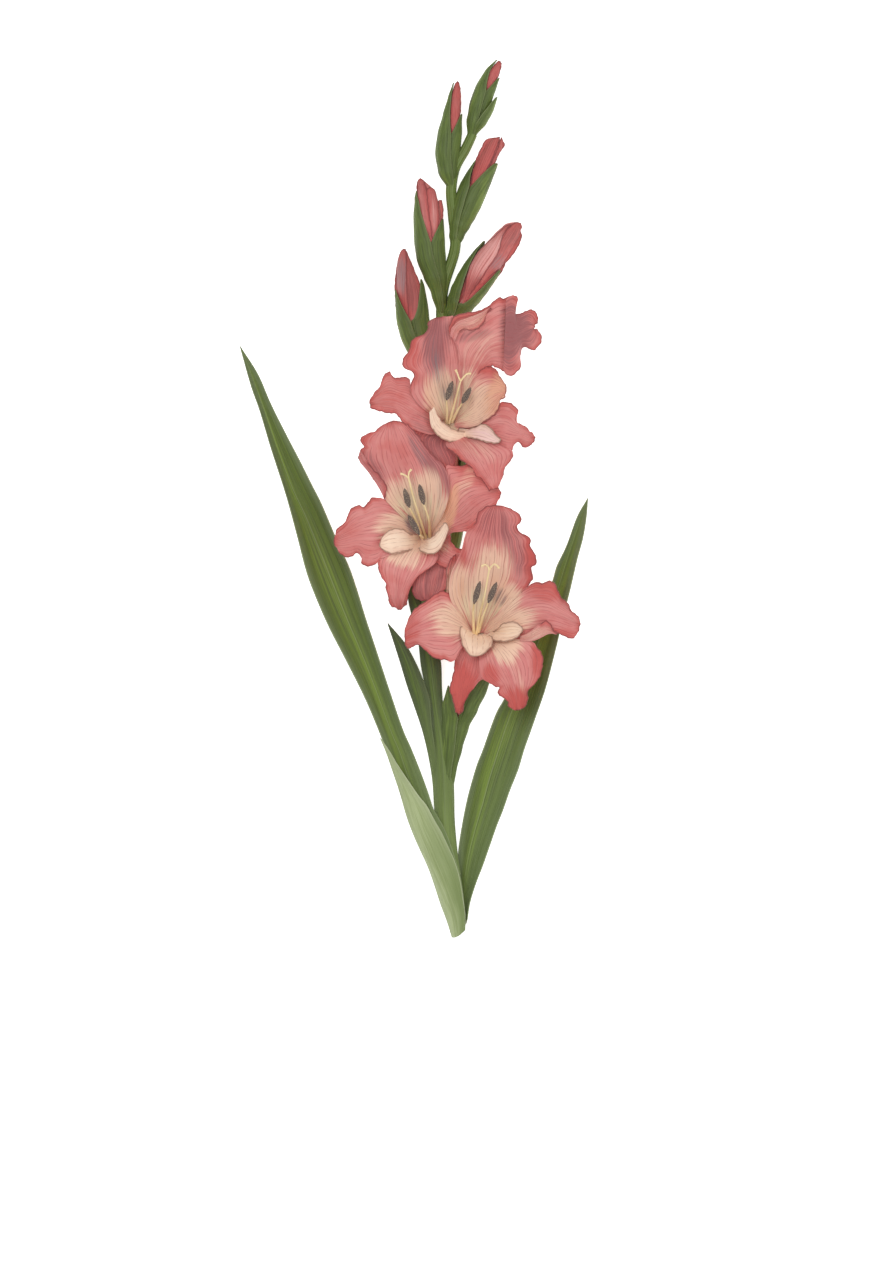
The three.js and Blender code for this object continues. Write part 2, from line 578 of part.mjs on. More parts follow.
const MID_BLOOM = {
  tube: [
    [438, 626, 7.4], [437.5, 609, 9], [435, 590, 10.2], [430.5, 569, 11], [427, 553, 12.5],
    [426, 541, 16], [426, 538.5, 19.6],
  ],
  tepals: {
    hood: {
      left: [
        [418, 534, 19], [400, 515, 34], [387, 500, 40], [382, 484, 42], [371, 477, 41],
        [362, 466, 42], [357, 457, 43], [363, 447, 45], [360, 438, 45], [372, 432, 47],
        [380, 426, 48],
      ],
      rib: [[424, 534, 18], [418, 505, 30], [410, 470, 40], [400, 445, 46], [391, 420, 48]],
      right: [
        [432, 534, 19], [443, 515, 35], [449, 495, 41], [447, 475, 43], [440, 464, 43],
        [428, 452, 43], [416, 437, 45], [405, 423, 47],
      ],
    },
    left_wing: {
      left: [
        [420, 529, 19], [406, 513, 31], [391, 500, 37], [372, 500, 41], [357, 503, 41],
        [347, 511, 40], [340, 525, 38],
      ],
      rib: [[420, 536, 18], [400, 528, 32], [380, 528, 39], [358, 532, 41], [334, 543, 38]],
      right: [
        [418, 540, 19], [400, 548, 32], [385, 556, 37], [371, 562, 37], [358, 557, 37],
        [347, 561, 36], [340, 556, 36],
      ],
    },
    lip: {
      left: [
        [419, 537, 18], [400, 547, 31], [385, 553, 35], [377, 567, 36], [380, 580, 36],
        [386, 593, 34], [395, 609, 29],
      ],
      rib: [[424, 541, 18], [415, 553, 32], [405, 575, 36], [400, 595, 33], [400, 610, 28]],
      right: [
        [430, 541, 18], [438, 551, 32], [435, 562, 35], [424, 572, 35], [414, 584, 33],
        [406, 605, 29],
      ],
    },
    right_wing: {
      left: [
        [432, 531, 19], [446, 505, 34], [448, 485, 38], [446, 469, 39], [458, 467, 38],
        [470, 466, 37], [480, 476, 35], [497, 487, 34],
      ],
      rib: [[432, 536, 18], [448, 520, 32], [465, 500, 37], [482, 492, 36], [501, 493, 33]],
      right: [
        [434, 540, 19], [448, 540, 31], [458, 533, 34], [470, 529, 35], [478, 517, 35],
        [487, 509, 34], [497, 501, 33],
      ],
    },
    lower_right: {
      left: [[434, 538, 19], [446, 536, 30], [458, 533, 33], [463, 540, 33]],
      rib: [[432, 541, 18], [443, 547, 29], [452, 549, 32], [459, 551, 33]],
      right: [[430, 543, 18], [436, 556, 29], [446, 560, 32], [452, 558, 33]],
    },
    back: {
      left: [[424, 541, 17], [423, 565, 24], [415, 583, 25], [413, 592, 25], [421, 601, 24]],
      rib: [[430, 541, 16.5], [436, 560, 24], [433, 580, 26], [428, 600, 25]],
      right: [[436, 541, 17], [449, 556, 25], [451, 572, 26], [446, 588, 26], [436, 599, 25]],
    },
  },
  lobes: {
    left: {
      left: [[420, 534, 18], [408, 530, 33], [396, 528, 40], [385, 534, 43], [380, 543, 44]],
      rib: [[420, 540, 17.5], [405, 541, 34], [392, 541, 41], [379, 546, 44]],
      right: [[422, 544, 18], [410, 551, 34], [397, 555, 40], [388, 554, 42], [380, 549, 44]],
    },
    right: {
      left: [[424, 539, 17.5], [430, 539, 32], [438, 531, 38], [445, 522, 42]],
      rib: [[423, 543, 17.5], [433, 546, 33], [442, 537, 38], [447, 523, 42]],
      right: [[421, 546, 18], [431, 555, 33], [444, 548, 38], [449, 534, 41], [450, 526, 42]],
    },
  },
  style: [[426, 538, 20.1], [421, 522, 32], [414, 500, 43], [408, 478, 49]],
  branches: [[[403, 474, 50], [399, 477, 50]], [[410, 470, 50], [413, 467, 50]]],
  stamens: {
    left: { filament: [[422, 538, 20.1], [417, 523, 33], [410, 508, 42]], tip: [405.5, 490, 46] },
    right: { filament: [[430, 537, 20.1], [429, 521, 34], [424, 506, 42]], tip: [420.5, 485, 46] },
    lower: { filament: [[425, 542, 20.1], [423, 538, 30], [421, 534, 37]], tip: [411, 515, 41] },
  },
  bracts: {
    axis: [
      [434, 640, 6.4], [437, 622, 8.2], [436.5, 602, 10], [433, 580, 11.5], [429, 560, 12.5],
    ],
    halfWidths: [2.5, 7, 10, 12, 12],
    notch: 0.34, leftTip: 0.84, rightTip: 0.94,
  },
};
const TOP_BLOOM = {
  tube: [
    [459, 512, 9], [457.5, 495, 10.5], [455, 475, 12], [451, 452, 14.5], [449, 437, 18],
    [448.5, 427, 23], [448.5, 424.5, 27.6],
  ],
  tepals: {
    hood: {
      left: [
        [442, 420, 27], [425, 412, 42], [412, 398, 50], [411, 384, 52], [413, 374, 53],
        [403, 364, 54], [409, 353, 55], [411, 342, 56], [419, 336, 57], [427, 323, 58],
      ],
      rib: [[448, 420, 26], [446, 395, 37], [441, 365, 49], [440, 340, 56], [439, 319, 58]],
      right: [
        [457, 418, 27], [463, 395, 38], [462, 372, 46], [459, 350, 51], [456, 335, 54],
        [456, 317, 56],
      ],
    },
    upper_right: {
      left: [
        [452, 410, 30], [456, 368, 47.5], [453, 345, 55.5], [449, 326, 58], [466, 313, 58],
        [484, 307, 58], [498, 298, 58], [516, 296, 55], [515, 309, 53], [526, 312, 50],
        [538, 316, 46],
      ],
      rib: [
        [456, 413, 28], [470, 370, 45], [485, 345, 52], [502, 331, 54], [520, 325, 50],
        [536, 323, 46],
      ],
      right: [
        [461, 413, 28], [476, 378, 42], [490, 368, 46], [506, 377, 48], [519, 370, 47],
        [522, 352, 46], [537, 350, 44], [541, 343, 43], [537, 333, 44], [533, 327, 45],
      ],
    },
    right_bowl: {
      left: [
        [456, 417, 27], [469, 392, 36], [472, 374, 41], [482, 368, 44], [493, 368, 45.5],
        [500, 377, 46.5], [505, 384, 47.5],
      ],
      rib: [[455, 422, 26], [475, 410, 37], [490, 395, 44.5], [507, 391, 47]],
      right: [
        [455, 427, 27], [470, 428, 36], [483, 423, 42], [493, 416, 45], [500, 407, 46.5],
        [504, 399, 47],
      ],
    },
    left_wing: {
      left: [
        [440, 418, 28], [422, 405, 42], [411, 390, 49], [406, 378, 50], [396, 379, 50],
        [390, 372, 49], [383, 378, 48], [380, 388, 47], [373, 396, 46],
      ],
      rib: [[443, 424, 26], [425, 415, 40], [405, 403, 47], [388, 398, 48], [369, 402, 45]],
      right: [
        [443, 430, 27], [430, 433, 38], [418, 427, 43], [407, 422, 46], [397, 416, 46],
        [384, 412, 45], [371, 408, 44],
      ],
    },
    right_wing: {
      left: [
        [457, 423, 27], [482, 419, 38], [500, 404, 44.5], [511, 404, 45.5], [518, 412, 45],
        [516, 421, 44], [525, 426, 43], [535, 438, 41],
      ],
      rib: [[460, 430, 26], [480, 430, 37], [500, 425, 43], [515, 432, 44], [533, 441, 41]],
      right: [
        [462, 434, 27], [485, 441, 36], [500, 447, 40], [511, 452, 41], [518, 445, 41],
        [531, 444, 40],
      ],
    },
    lip: {
      left: [
        [448, 434, 27], [446, 445, 36], [453, 454, 41], [463, 461, 44], [470, 468, 44.5],
        [476, 477, 43.5], [487, 489, 41],
      ],
      rib: [[455, 433, 26], [468, 447, 38], [480, 465, 43.5], [490, 480, 43], [493, 490, 41]],
      right: [
        [465, 433, 27], [490, 440, 37], [506, 448, 41], [513, 456, 42], [505, 468, 42],
        [504, 476, 41], [498, 488, 38],
      ],
    },
    back: {
      left: [[444, 428, 24], [425, 436, 30], [425, 449, 32], [433, 459, 31], [441, 466, 30]],
      rib: [[447, 430, 23.5], [440, 440, 29], [438, 455, 31], [445, 468, 29]],
      right: [[450, 432, 24], [449, 446, 28], [456, 455, 29], [451, 464, 29]],
    },
  },
  lobes: {
    left: {
      left: [[435, 408, 43], [439, 418, 41], [448, 426, 37], [458, 431, 33], [468, 432, 30]],
      rib: [[432.5, 411, 44], [437, 423, 42], [446, 432, 38], [456, 436, 34], [468, 435, 30]],
      right: [[430, 414, 45], [431, 427, 43], [440, 438, 39], [452, 442, 36], [468, 437, 30]],
    },
    right: {
      left: [[459, 428, 26], [470, 427, 35], [480, 424, 41], [489, 427, 44], [501, 440, 45]],
      rib: [[458, 431, 26], [470, 432, 34], [484, 433, 41], [500, 441.5, 45]],
      right: [[457, 434, 26], [468, 438, 34], [478, 440, 39], [488, 443, 42], [499, 443.5, 45]],
    },
  },
  style: [[449, 424, 28.1], [453, 410, 38], [457, 395, 47], [461, 381, 53]],
  branches: [[[456, 375, 54], [456, 370, 54]], [[466, 376, 54], [470, 373, 54]]],
  stamens: {
    left: { filament: [[446.5, 423, 28.1], [447, 412, 38], [447, 400, 46]], tip: [454, 383, 50] },
    right: { filament: [[452, 422, 28.1], [457, 412, 38], [461, 404, 45]], tip: [469, 389, 50] },
  },
  bracts: {
    axis: [
      [459, 522, 8.6], [458, 500, 10], [456, 480, 11.5], [453, 460, 13], [450, 442, 15],
    ],
    halfWidths: [2, 6.5, 9, 10.5, 11],
    notch: 0.34, leftTip: 0.86, rightTip: 0.94,
  },
};
const TUBE_RADII = [1.8, 2.2, 2.8, 3.8, 5.0, 6.6];
const THROAT_CLEAR = 0.5; // round each stalk in the throat
const waves = (n) => (u, v) =>
  RUFFLE * (Math.abs(v) ** 3 * u * Math.sin(17 * u + 2 * n) + 0.5 * u ** 4 * Math.sin(7 * v + n));

// A stamen: a slender filament with a long anther on its end.
function stamen({ filament, tip }, extra = 0) {
  const rod = stalk(filament, [FILAMENT_RADIUS + extra, FILAMENT_RADIUS + extra], 4, FINE_STALK_SIDES);
  const end = filament[filament.length - 1];
  const [a, b] = [at(end), at(tip)];
  const reach = ANTHER_LENGTH / a.distanceTo(b);
  const place = (s) => end.map((value, k) => value + (tip[k] - value) * s * reach);
  const path = [place(-0.12), place(0.3), place(0.7), place(1)];
  const r = ANTHER_RADIUS + extra;
  return rod.add(stalk(path, [0.5 * r, r, r, 0.9 * r, 0.35 * r], 5, FINE_STALK_SIDES));
}

// The style, with its end split into short branches.
function style({ style: path, branches }, extra = 0) {
  const radius = STYLE_RADIUS + extra;
  const end = path[path.length - 1];
  return branches.reduce(
    (body, branch) =>
      body.add(stalk([end, ...branch], [radius, 0.6 * radius], 3, FINE_STALK_SIDES)),
    stalk(path, [radius, radius], 6, FINE_STALK_SIDES),
  );
}

for (const [name, bloom] of Object.entries({
  bloom_low: LOW_BLOOM, bloom_mid: MID_BLOOM, bloom_top: TOP_BLOOM,
})) {
  let body = stalk(bloom.tube, TUBE_RADII, 9, BUD_SIDES);
  Object.values(bloom.tepals).forEach((shape, n) => {
    body = body.add(sheet(blade(shape), TEPAL_STEPS, TEPAL_THICKNESS, waves(n)));
  });
  Object.values(bloom.lobes).forEach((shape) => {
    body = body.add(sheet(blade(shape), LOBE_STEPS, TEPAL_THICKNESS));
  });
  body = body.subtract(stemAndGap);
  const clear = [style(bloom, THROAT_CLEAR)];
  add(name + "_style", style(bloom), CREAM);
  for (const [side, shape] of Object.entries(bloom.stamens)) {
    add(name + "_stamen_" + side, stamen(shape), ANTHER_GREY);
    clear.push(stamen(shape, THROAT_CLEAR));
  }
  clear.forEach((stalkAndGap) => {
    body = body.subtract(stalkAndGap);
  });
  add(name + "_tepals", body, CORAL);
  const { axis, halfWidths, notch, leftTip, rightTip } = bloom.bracts;
  const halfWidth = (s) => through(halfWidths, s) * PIXEL;
  const bract = (side, tip, clear) => {
    const radius = (s) => halfWidth(s) + standOff(s, notch, tip, clear) / BUD_DEPTH;
    const shape = { axis, radius, side, tip, notch, wrap: BRACT_WRAP };
    return valve(shape).subtract(stemAndGap).subtract(middleAndGap);
  };
  add(name + "_bract_outer", bract(180, leftTip, OUTER_CLEAR), BRACT_GREEN);
  add(name + "_bract_inner", bract(0, rightTip, INNER_CLEAR), BRACT_GREEN);
}

export default meshes;
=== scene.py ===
"""Dresses the cut gladiolus: ruffled coral blooms, buds in their bracts, sword leaves, stem.

The plant lies on its back on a pale table and the camera looks straight down on it. Plan
points are picture pixels with a height above the table in millimetres; meshes are in metres.
"""

import logging
import math
from dataclasses import dataclass
from enum import Enum
from typing import Callable, Sequence, Union

import bpy
import numpy as np
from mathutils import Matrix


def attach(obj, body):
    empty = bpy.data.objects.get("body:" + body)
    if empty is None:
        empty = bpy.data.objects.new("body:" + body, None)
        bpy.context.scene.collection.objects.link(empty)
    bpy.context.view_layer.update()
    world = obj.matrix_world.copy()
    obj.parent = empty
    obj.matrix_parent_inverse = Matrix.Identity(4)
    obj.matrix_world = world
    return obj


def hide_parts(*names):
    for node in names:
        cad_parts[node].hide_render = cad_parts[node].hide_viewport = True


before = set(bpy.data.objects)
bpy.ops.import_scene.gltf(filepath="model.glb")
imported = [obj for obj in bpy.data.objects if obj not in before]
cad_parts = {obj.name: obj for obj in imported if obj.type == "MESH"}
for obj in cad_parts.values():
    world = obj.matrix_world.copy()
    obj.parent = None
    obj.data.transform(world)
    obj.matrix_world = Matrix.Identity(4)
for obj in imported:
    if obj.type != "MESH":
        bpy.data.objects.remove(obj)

log = logging.getLogger("gladiolus")

# ------------------------------------------------------------------ driving dimensions
CUT_LENGTH_MM = 526.0  # cut end of the stem to the tip of the top bud
PICTURE_LENGTH_PX = 877.0  # the same length in the picture
ORIGIN_PX = (436.0, 610.0)  # the flat spot under the stem
PICTURE_PX = (894, 1280)
MM_PER_PX = CUT_LENGTH_MM / PICTURE_LENGTH_PX
METRE = 0.001  # one millimetre in metres
LEAF_MM = 0.9
BRACT_MM = 0.6
TEPAL_MM = (0.75, 0.5, 0.3)  # a tepal's thickness in the throat, mid way and at its rim
RUFFLE_MM = 1.1  # height of the slow waves along a tepal's edge
BUD_DEPTH = 0.78  # a bud is this much flatter towards the table than across
GAP_MM = 0.3
BODY = "root"
SEED = 7

Point = tuple[float, float, float]
Socket = bpy.types.NodeSocket
Value = Union[Socket, float, int, tuple]
Material = bpy.types.Material
Piece = bpy.types.Object
Array = np.ndarray
Field = Callable[[Array, Array], Array]  # a number or a place for shares along and across


def plan(points: Sequence[Point]) -> Array:
    """Turns picture points into places on the table.

    Args:
        points: Pixel across, pixel down and height in millimetres.

    Returns:
        One row of x, y, z in millimetres for each point.
    """
    px = np.asarray(points, float)
    x = (px[:, 0] - ORIGIN_PX[0]) * MM_PER_PX
    y = (ORIGIN_PX[1] - px[:, 1]) * MM_PER_PX
    return np.stack([x, y, px[:, 2]], axis=1)


def colour(code: str) -> tuple[float, float, float, float]:
    """Turns a colour as seen, such as "#cb7a76", into the linear colour a shader takes."""
    seen = [int(code[i : i + 2], 16) / 255 for i in (1, 3, 5)]
    red, green, blue = (s / 12.92 if s < 0.04045 else ((s + 0.055) / 1.055) ** 2.4 for s in seen)
    return (red, green, blue, 1.0)


def unit(vectors: Array) -> Array:
    """Each vector of the last axis at length one."""
    return vectors / np.maximum(np.linalg.norm(vectors, axis=-1, keepdims=True), 1e-12)


def smooth(value: Array, low: float, high: float) -> Array:
    """0 below low, 1 above high and an eased slope between them."""
    t = np.clip((value - low) / (high - low), 0, 1)
    return t * t * (3 - 2 * t)


def through(values: Sequence[float], shares: Array) -> Array:
    """A value that eases through evenly spaced numbers, for shares from 0 to 1."""
    numbers = np.asarray(values, float)
    last = len(numbers) - 1
    step = np.minimum(np.floor(shares * last).astype(int), last - 1)
    ease = smooth(shares * last - step, 0, 1)
    return numbers[step] * (1 - ease) + numbers[step + 1] * ease


# ------------------------------------------------------------------ curves and surfaces
class Curve:
    """A smooth curve through plan points, measured by share of its length."""

    DIVISIONS = 200
    CALM = 0.05  # half the stretch, as a share of the length, that calm() averages over

    def __init__(self, points: Sequence[Point]) -> None:
        """Fits the curve.

        Args:
            points: Plan points that it passes through.
        """
        knots = plan(points)
        self._last = len(knots) - 1
        self._padded = np.vstack([2 * knots[0] - knots[1], knots, 2 * knots[-1] - knots[-2]])
        self._steps = np.linspace(0, 1, self.DIVISIONS + 1)
        walked = np.linalg.norm(np.diff(self._place(self._steps), axis=0), axis=1)
        self._lengths = np.concatenate([[0], np.cumsum(walked)])
        self.length = float(self._lengths[-1])

    def _place(self, t: Array) -> Array:
        """The points at even steps between the knots."""
        place = np.clip(t, 0, 1) * self._last
        k = np.minimum(place.astype(int), self._last - 1)
        w = (place - k)[..., None]
        before, start, end, after = (self._padded[k + i] for i in range(4))
        leave, arrive = (end - before) / 2, (after - start) / 2
        square = -3 * start + 3 * end - 2 * leave - arrive
        return start + leave * w + square * w**2 + (2 * start - 2 * end + leave + arrive) * w**3

    def _step(self, shares: Array) -> Array:
        """The even step that lies at each share of the length."""
        return np.interp(shares * self.length, self._lengths, self._steps)

    def at(self, shares: Array) -> Array:
        """The points at shares of the length."""
        return self._place(self._step(np.asarray(shares, float)))

    def calm(self, shares: Array) -> Array:
        """The points averaged over a short stretch, so that small waves drop out."""
        shares = np.asarray(shares, float)
        window = np.minimum(self.CALM, np.minimum(shares, 1 - shares))
        return np.mean([self.at(shares + window * k) for k in np.linspace(-1, 1, 9)], axis=0)

    def cross(self, shares: Array) -> tuple[Array, Array]:
        """The directions across the curve.

        Args:
            shares: Shares of the length.

        Returns:
            Unit vectors level with the table, and square to those and the curve.
        """
        t = self._step(np.asarray(shares, float))
        along = unit(self._place(t + 1e-4) - self._place(t - 1e-4))
        over = unit(np.cross([1.0, 0.0, 0.0], along))
        return unit(np.cross(along, over)), over


def hoops(path: Curve, shares: Array, radius: Array, angle: Array, depth: float = 1.0) -> Array:
    """Points round a curve, ring after ring.

    Args:
        path: The curve.
        shares: Share of its length for each ring.
        radius: Radius in millimetres by ring and by point.
        angle: Angle of each point, 0 on the right and a quarter turn facing up.
        depth: How much flatter the rings are towards the table.

    Returns:
        The grid of points.
    """
    across, over = (c[:, None, :] for c in path.cross(shares))
    reach = radius[..., None]
    rings = path.at(shares)[:, None, :] + across * reach * np.cos(angle)[..., None]
    return rings + over * reach * depth * np.sin(angle)[..., None]


@dataclass
class Form:
    """A closed mesh in millimetres with named numbers at its points."""

    points: Array
    faces: Array
    marks: dict[str, Array]

    def outward(self) -> "Form":
        """The same form with its faces turned outwards."""
        a, b, c, d = (self.points[self.faces[:, k]] for k in range(4))
        volume = np.einsum("ij,ij->", a, np.cross(b, c)) + np.einsum("ij,ij->", a, np.cross(c, d))
        if volume < 0:
            self.faces = self.faces[:, ::-1]
        return self

    @staticmethod
    def joined(forms: Sequence["Form"]) -> "Form":
        """Several forms as one, each kept closed."""
        starts = np.cumsum([0] + [len(f.points) for f in forms])
        marks = {m: np.concatenate([f.marks[m] for f in forms]) for m in forms[0].marks}
        faces = np.vstack([f.faces + start for f, start in zip(forms, starts)])
        return Form(np.vstack([f.points for f in forms]), faces, marks)

    def to_object(self, name: str) -> Piece:
        """Makes the Blender object, in metres and smooth shaded.

        Args:
            name: The object's name.

        Returns:
            The new object, linked to the scene.
        """
        mesh = bpy.data.meshes.new(name)
        mesh.vertices.add(len(self.points))
        mesh.vertices.foreach_set("co", (self.points * METRE).astype(np.float32).ravel())
        corners = np.ones(self.faces.shape, bool)
        corners[:, 3] = self.faces[:, 2] != self.faces[:, 3]
        starts = np.cumsum(corners.sum(axis=1)) - corners.sum(axis=1)
        mesh.loops.add(int(corners.sum()))
        mesh.loops.foreach_set("vertex_index", self.faces[corners].astype(np.int32))
        mesh.polygons.add(len(self.faces))
        mesh.polygons.foreach_set("loop_start", starts.astype(np.int32))
        mesh.update(calc_edges=True)
        mesh.validate()
        mesh.polygons.foreach_set("use_smooth", np.ones(len(mesh.polygons), bool))
        for mark, values in self.marks.items():
            layer = mesh.attributes.new(mark, "FLOAT", "POINT")
            layer.data.foreach_set("value", values.astype(np.float32))
        made = bpy.data.objects.new(name, mesh)
        bpy.context.scene.collection.objects.link(made)
        return made


def even_tone(tone: float) -> Callable[[Array], dict[str, Array]]:
    """A marking that gives every point one tone."""
    return lambda points: {"tone": np.full(points.shape[:2], tone)}


@dataclass
class Sheet:
    """A thin sheet either side of a surface, from its foot to its end and from edge to edge."""

    surface: Field  # gives the grid of points for shares along and across
    steps: tuple[int, int]  # mesh steps along and across
    thickness: Field  # thickness in millimetres for shares along and across
    marking: Callable[[Array], dict[str, Array]]  # gives further marks for the grid of points
    lift: Field = lambda u, v: 0 * u * v  # height added along the sheet's own normal
    # distance added outwards in the sheet, past its edges
    spread: Callable[[Array, Array], tuple] = lambda u, v: (0 * u * v, 0 * u * v)

    NUDGE = 0.01  # half the step, as a share, between which the sheet's directions are taken

    def grid(self) -> tuple[Array, Array, Array, Array]:
        """Works out the middle surface.

        Returns:
            Shares along, shares across, points and unit normals, all on the grid.
        """
        u = np.linspace(0, 1, self.steps[0] + 1)
        even = np.linspace(-1, 1, self.steps[1] + 1)
        v = np.sin(even * math.pi / 2) * 0.5 + even * 0.5
        step = self.NUDGE
        iu, iv = np.clip(u, 2 * step, 1 - 2 * step), np.clip(v, -1 + step, 1 - step)
        along = unit(self.surface(iu + step, iv) - self.surface(iu - step, iv))
        over = unit(self.surface(iu, iv + step) - self.surface(iu, iv - step))
        normal = unit(np.cross(over, along))
        uu, vv = u[:, None] + 0 * v[None, :], v[None, :] + 0 * u[:, None]
        sideways, lengthways = self.spread(uu, vv)
        points = self.surface(u, v) + normal * self.lift(uu, vv)[..., None]
        points = points + over * sideways[..., None] + along * lengthways[..., None]
        return uu, vv, points, normal

    def form(self) -> Form:
        """The sheet as a closed form, its thickness closed by a rim all round."""
        uu, vv, points, normal = self.grid()
        rows, row = points.shape[:2]
        half = self.thickness(uu, vv)[..., None] / 2
        borders = (points[:, :1], points[:, -1:], points[-1:])
        edge = np.min([np.linalg.norm(points - border, axis=-1) for border in borders], axis=0)
        index = np.arange(rows * row).reshape(rows, row)
        corners = [index[:-1, :-1], index[:-1, 1:], index[1:, 1:], index[1:, :-1]]
        quads = np.stack(corners, -1).reshape(-1, 4)
        below = quads[:, ::-1] + rows * row
        ring = np.concatenate([index[0, :-1], index[:-1, -1], index[-1, :0:-1], index[:0:-1, 0]])
        following = np.roll(ring, -1)
        rim = np.stack([ring, ring + rows * row, following + rows * row, following], -1)
        marks = {"along": uu, "across": vv, "edge": edge, **self.marking(points)}
        both = {name: np.tile(values.reshape(-1), 2) for name, values in marks.items()}
        faces = [(points + normal * side).reshape(-1, 3) for side in (half, -half)]
        return Form(np.vstack(faces), np.vstack([quads, below, rim]), both).outward()


@dataclass(frozen=True)
class Blade:
    """The outline of a leaf or tepal, from its foot to its end."""

    left: tuple  # plan points of its left edge
    rib: tuple  # plan points of its rib; none for one midway between the edges
    right: tuple  # plan points of its right edge
    # share of the left and of the right edge, from the foot, without ruffle or rim
    plain: tuple[float, float] = (0.15, 0.15)

    def surface(self) -> Field:
        """The surface through the three curves, as a function of shares along and across."""
        left, right = Curve(self.left), Curve(self.right)
        rib = Curve(self.rib) if self.rib else None

        def place(u: Array, v: Array) -> Array:
            """The grid of points at shares along and across; small waves stay near the edges."""
            across = v[None, :, None]
            calm = [c.calm(u)[:, None, :] for c in (left, right)]
            middle = rib.at(u)[:, None, :] if rib else (calm[0] + calm[1]) / 2
            stray = [c.at(u)[:, None, :] - quiet for c, quiet in zip((left, right), calm)]
            return (
                middle * (1 - across**2)
                + calm[0] * (across**2 - across) / 2
                + calm[1] * (across**2 + across) / 2
                + np.where(across < 0, stray[0], stray[1]) * across**4
            )

        return place

    def widths(self) -> tuple[float, float]:
        """Length of the longer edge, and width of the free end, in millimetres."""
        edges = [Curve(self.left), Curve(self.right)]
        end = np.linalg.norm(edges[0].at([1.0]) - edges[1].at([1.0]))
        return max(e.length for e in edges), float(end)


def rings_form(rings: Array, marks: dict[str, Array]) -> Form:
    """A closed body through rings of points.

    Args:
        rings: Points by ring and by side.
        marks: Named numbers by ring and by side.

    Returns:
        The body, its two ends closed by a middle point.
    """
    count, sides = rings.shape[:2]
    index = np.arange(count * sides).reshape(count, sides)
    ahead = np.roll(index, -1, axis=1)
    walls = np.stack([index[:-1], ahead[:-1], ahead[1:], index[1:]], -1).reshape(-1, 4)
    ends = []
    for end, middle in ((0, count * sides), (count - 1, count * sides + 1)):
        fan = [np.full(sides, middle), ahead[end], index[end], index[end]]
        if end:
            fan = [np.full(sides, middle), index[end], ahead[end], ahead[end]]
        ends.append(np.stack(fan, -1))
    points = np.vstack([rings.reshape(-1, 3), rings[0].mean(0), rings[-1].mean(0)])
    both = {n: np.concatenate([m.reshape(-1), [m[0].mean(), m[-1].mean()]]) for n, m in marks.items()}
    return Form(points, np.vstack([walls, *ends]), both).outward()


# ------------------------------------------------------------------ nodes
class Layout:
    """Lays out nodes in a tree of nodes."""

    def __init__(self, tree: bpy.types.NodeTree) -> None:
        """Takes the tree that the nodes go into."""
        self.tree = tree

    def node(self, kind: str, inputs: dict[Union[str, int], Value], **settings: object) -> bpy.types.Node:
        """Adds a node.

        Args:
            kind: The node's type.
            inputs: Value or socket by input name or number.
            **settings: The node's own settings.

        Returns:
            The node.
        """
        made = self.tree.nodes.new(kind)
        for label, setting in settings.items():
            setattr(made, label, setting)
        for label, value in inputs.items():
            self.put(made.inputs[label], value)
        return made

    def put(self, socket: Socket, value: Value) -> None:
        """Links a socket, or sets its own value."""
        if isinstance(value, bpy.types.NodeSocket):
            self.tree.links.new(value, socket)
        else:
            socket.default_value = value

    def add(self, kind: str, inputs: dict[Union[str, int], Value], **settings: object) -> Socket:
        """Adds a node and gives its first output."""
        return self.node(kind, inputs, **settings).outputs[0]

    def calc(self, operation: str, *values: Value) -> Socket:
        """One sum on numbers."""
        return self.add("ShaderNodeMath", dict(enumerate(values)), operation=operation)

    def times(self, first: Value, second: Value) -> Socket:
        """Two numbers multiplied."""
        return self.calc("MULTIPLY", first, second)


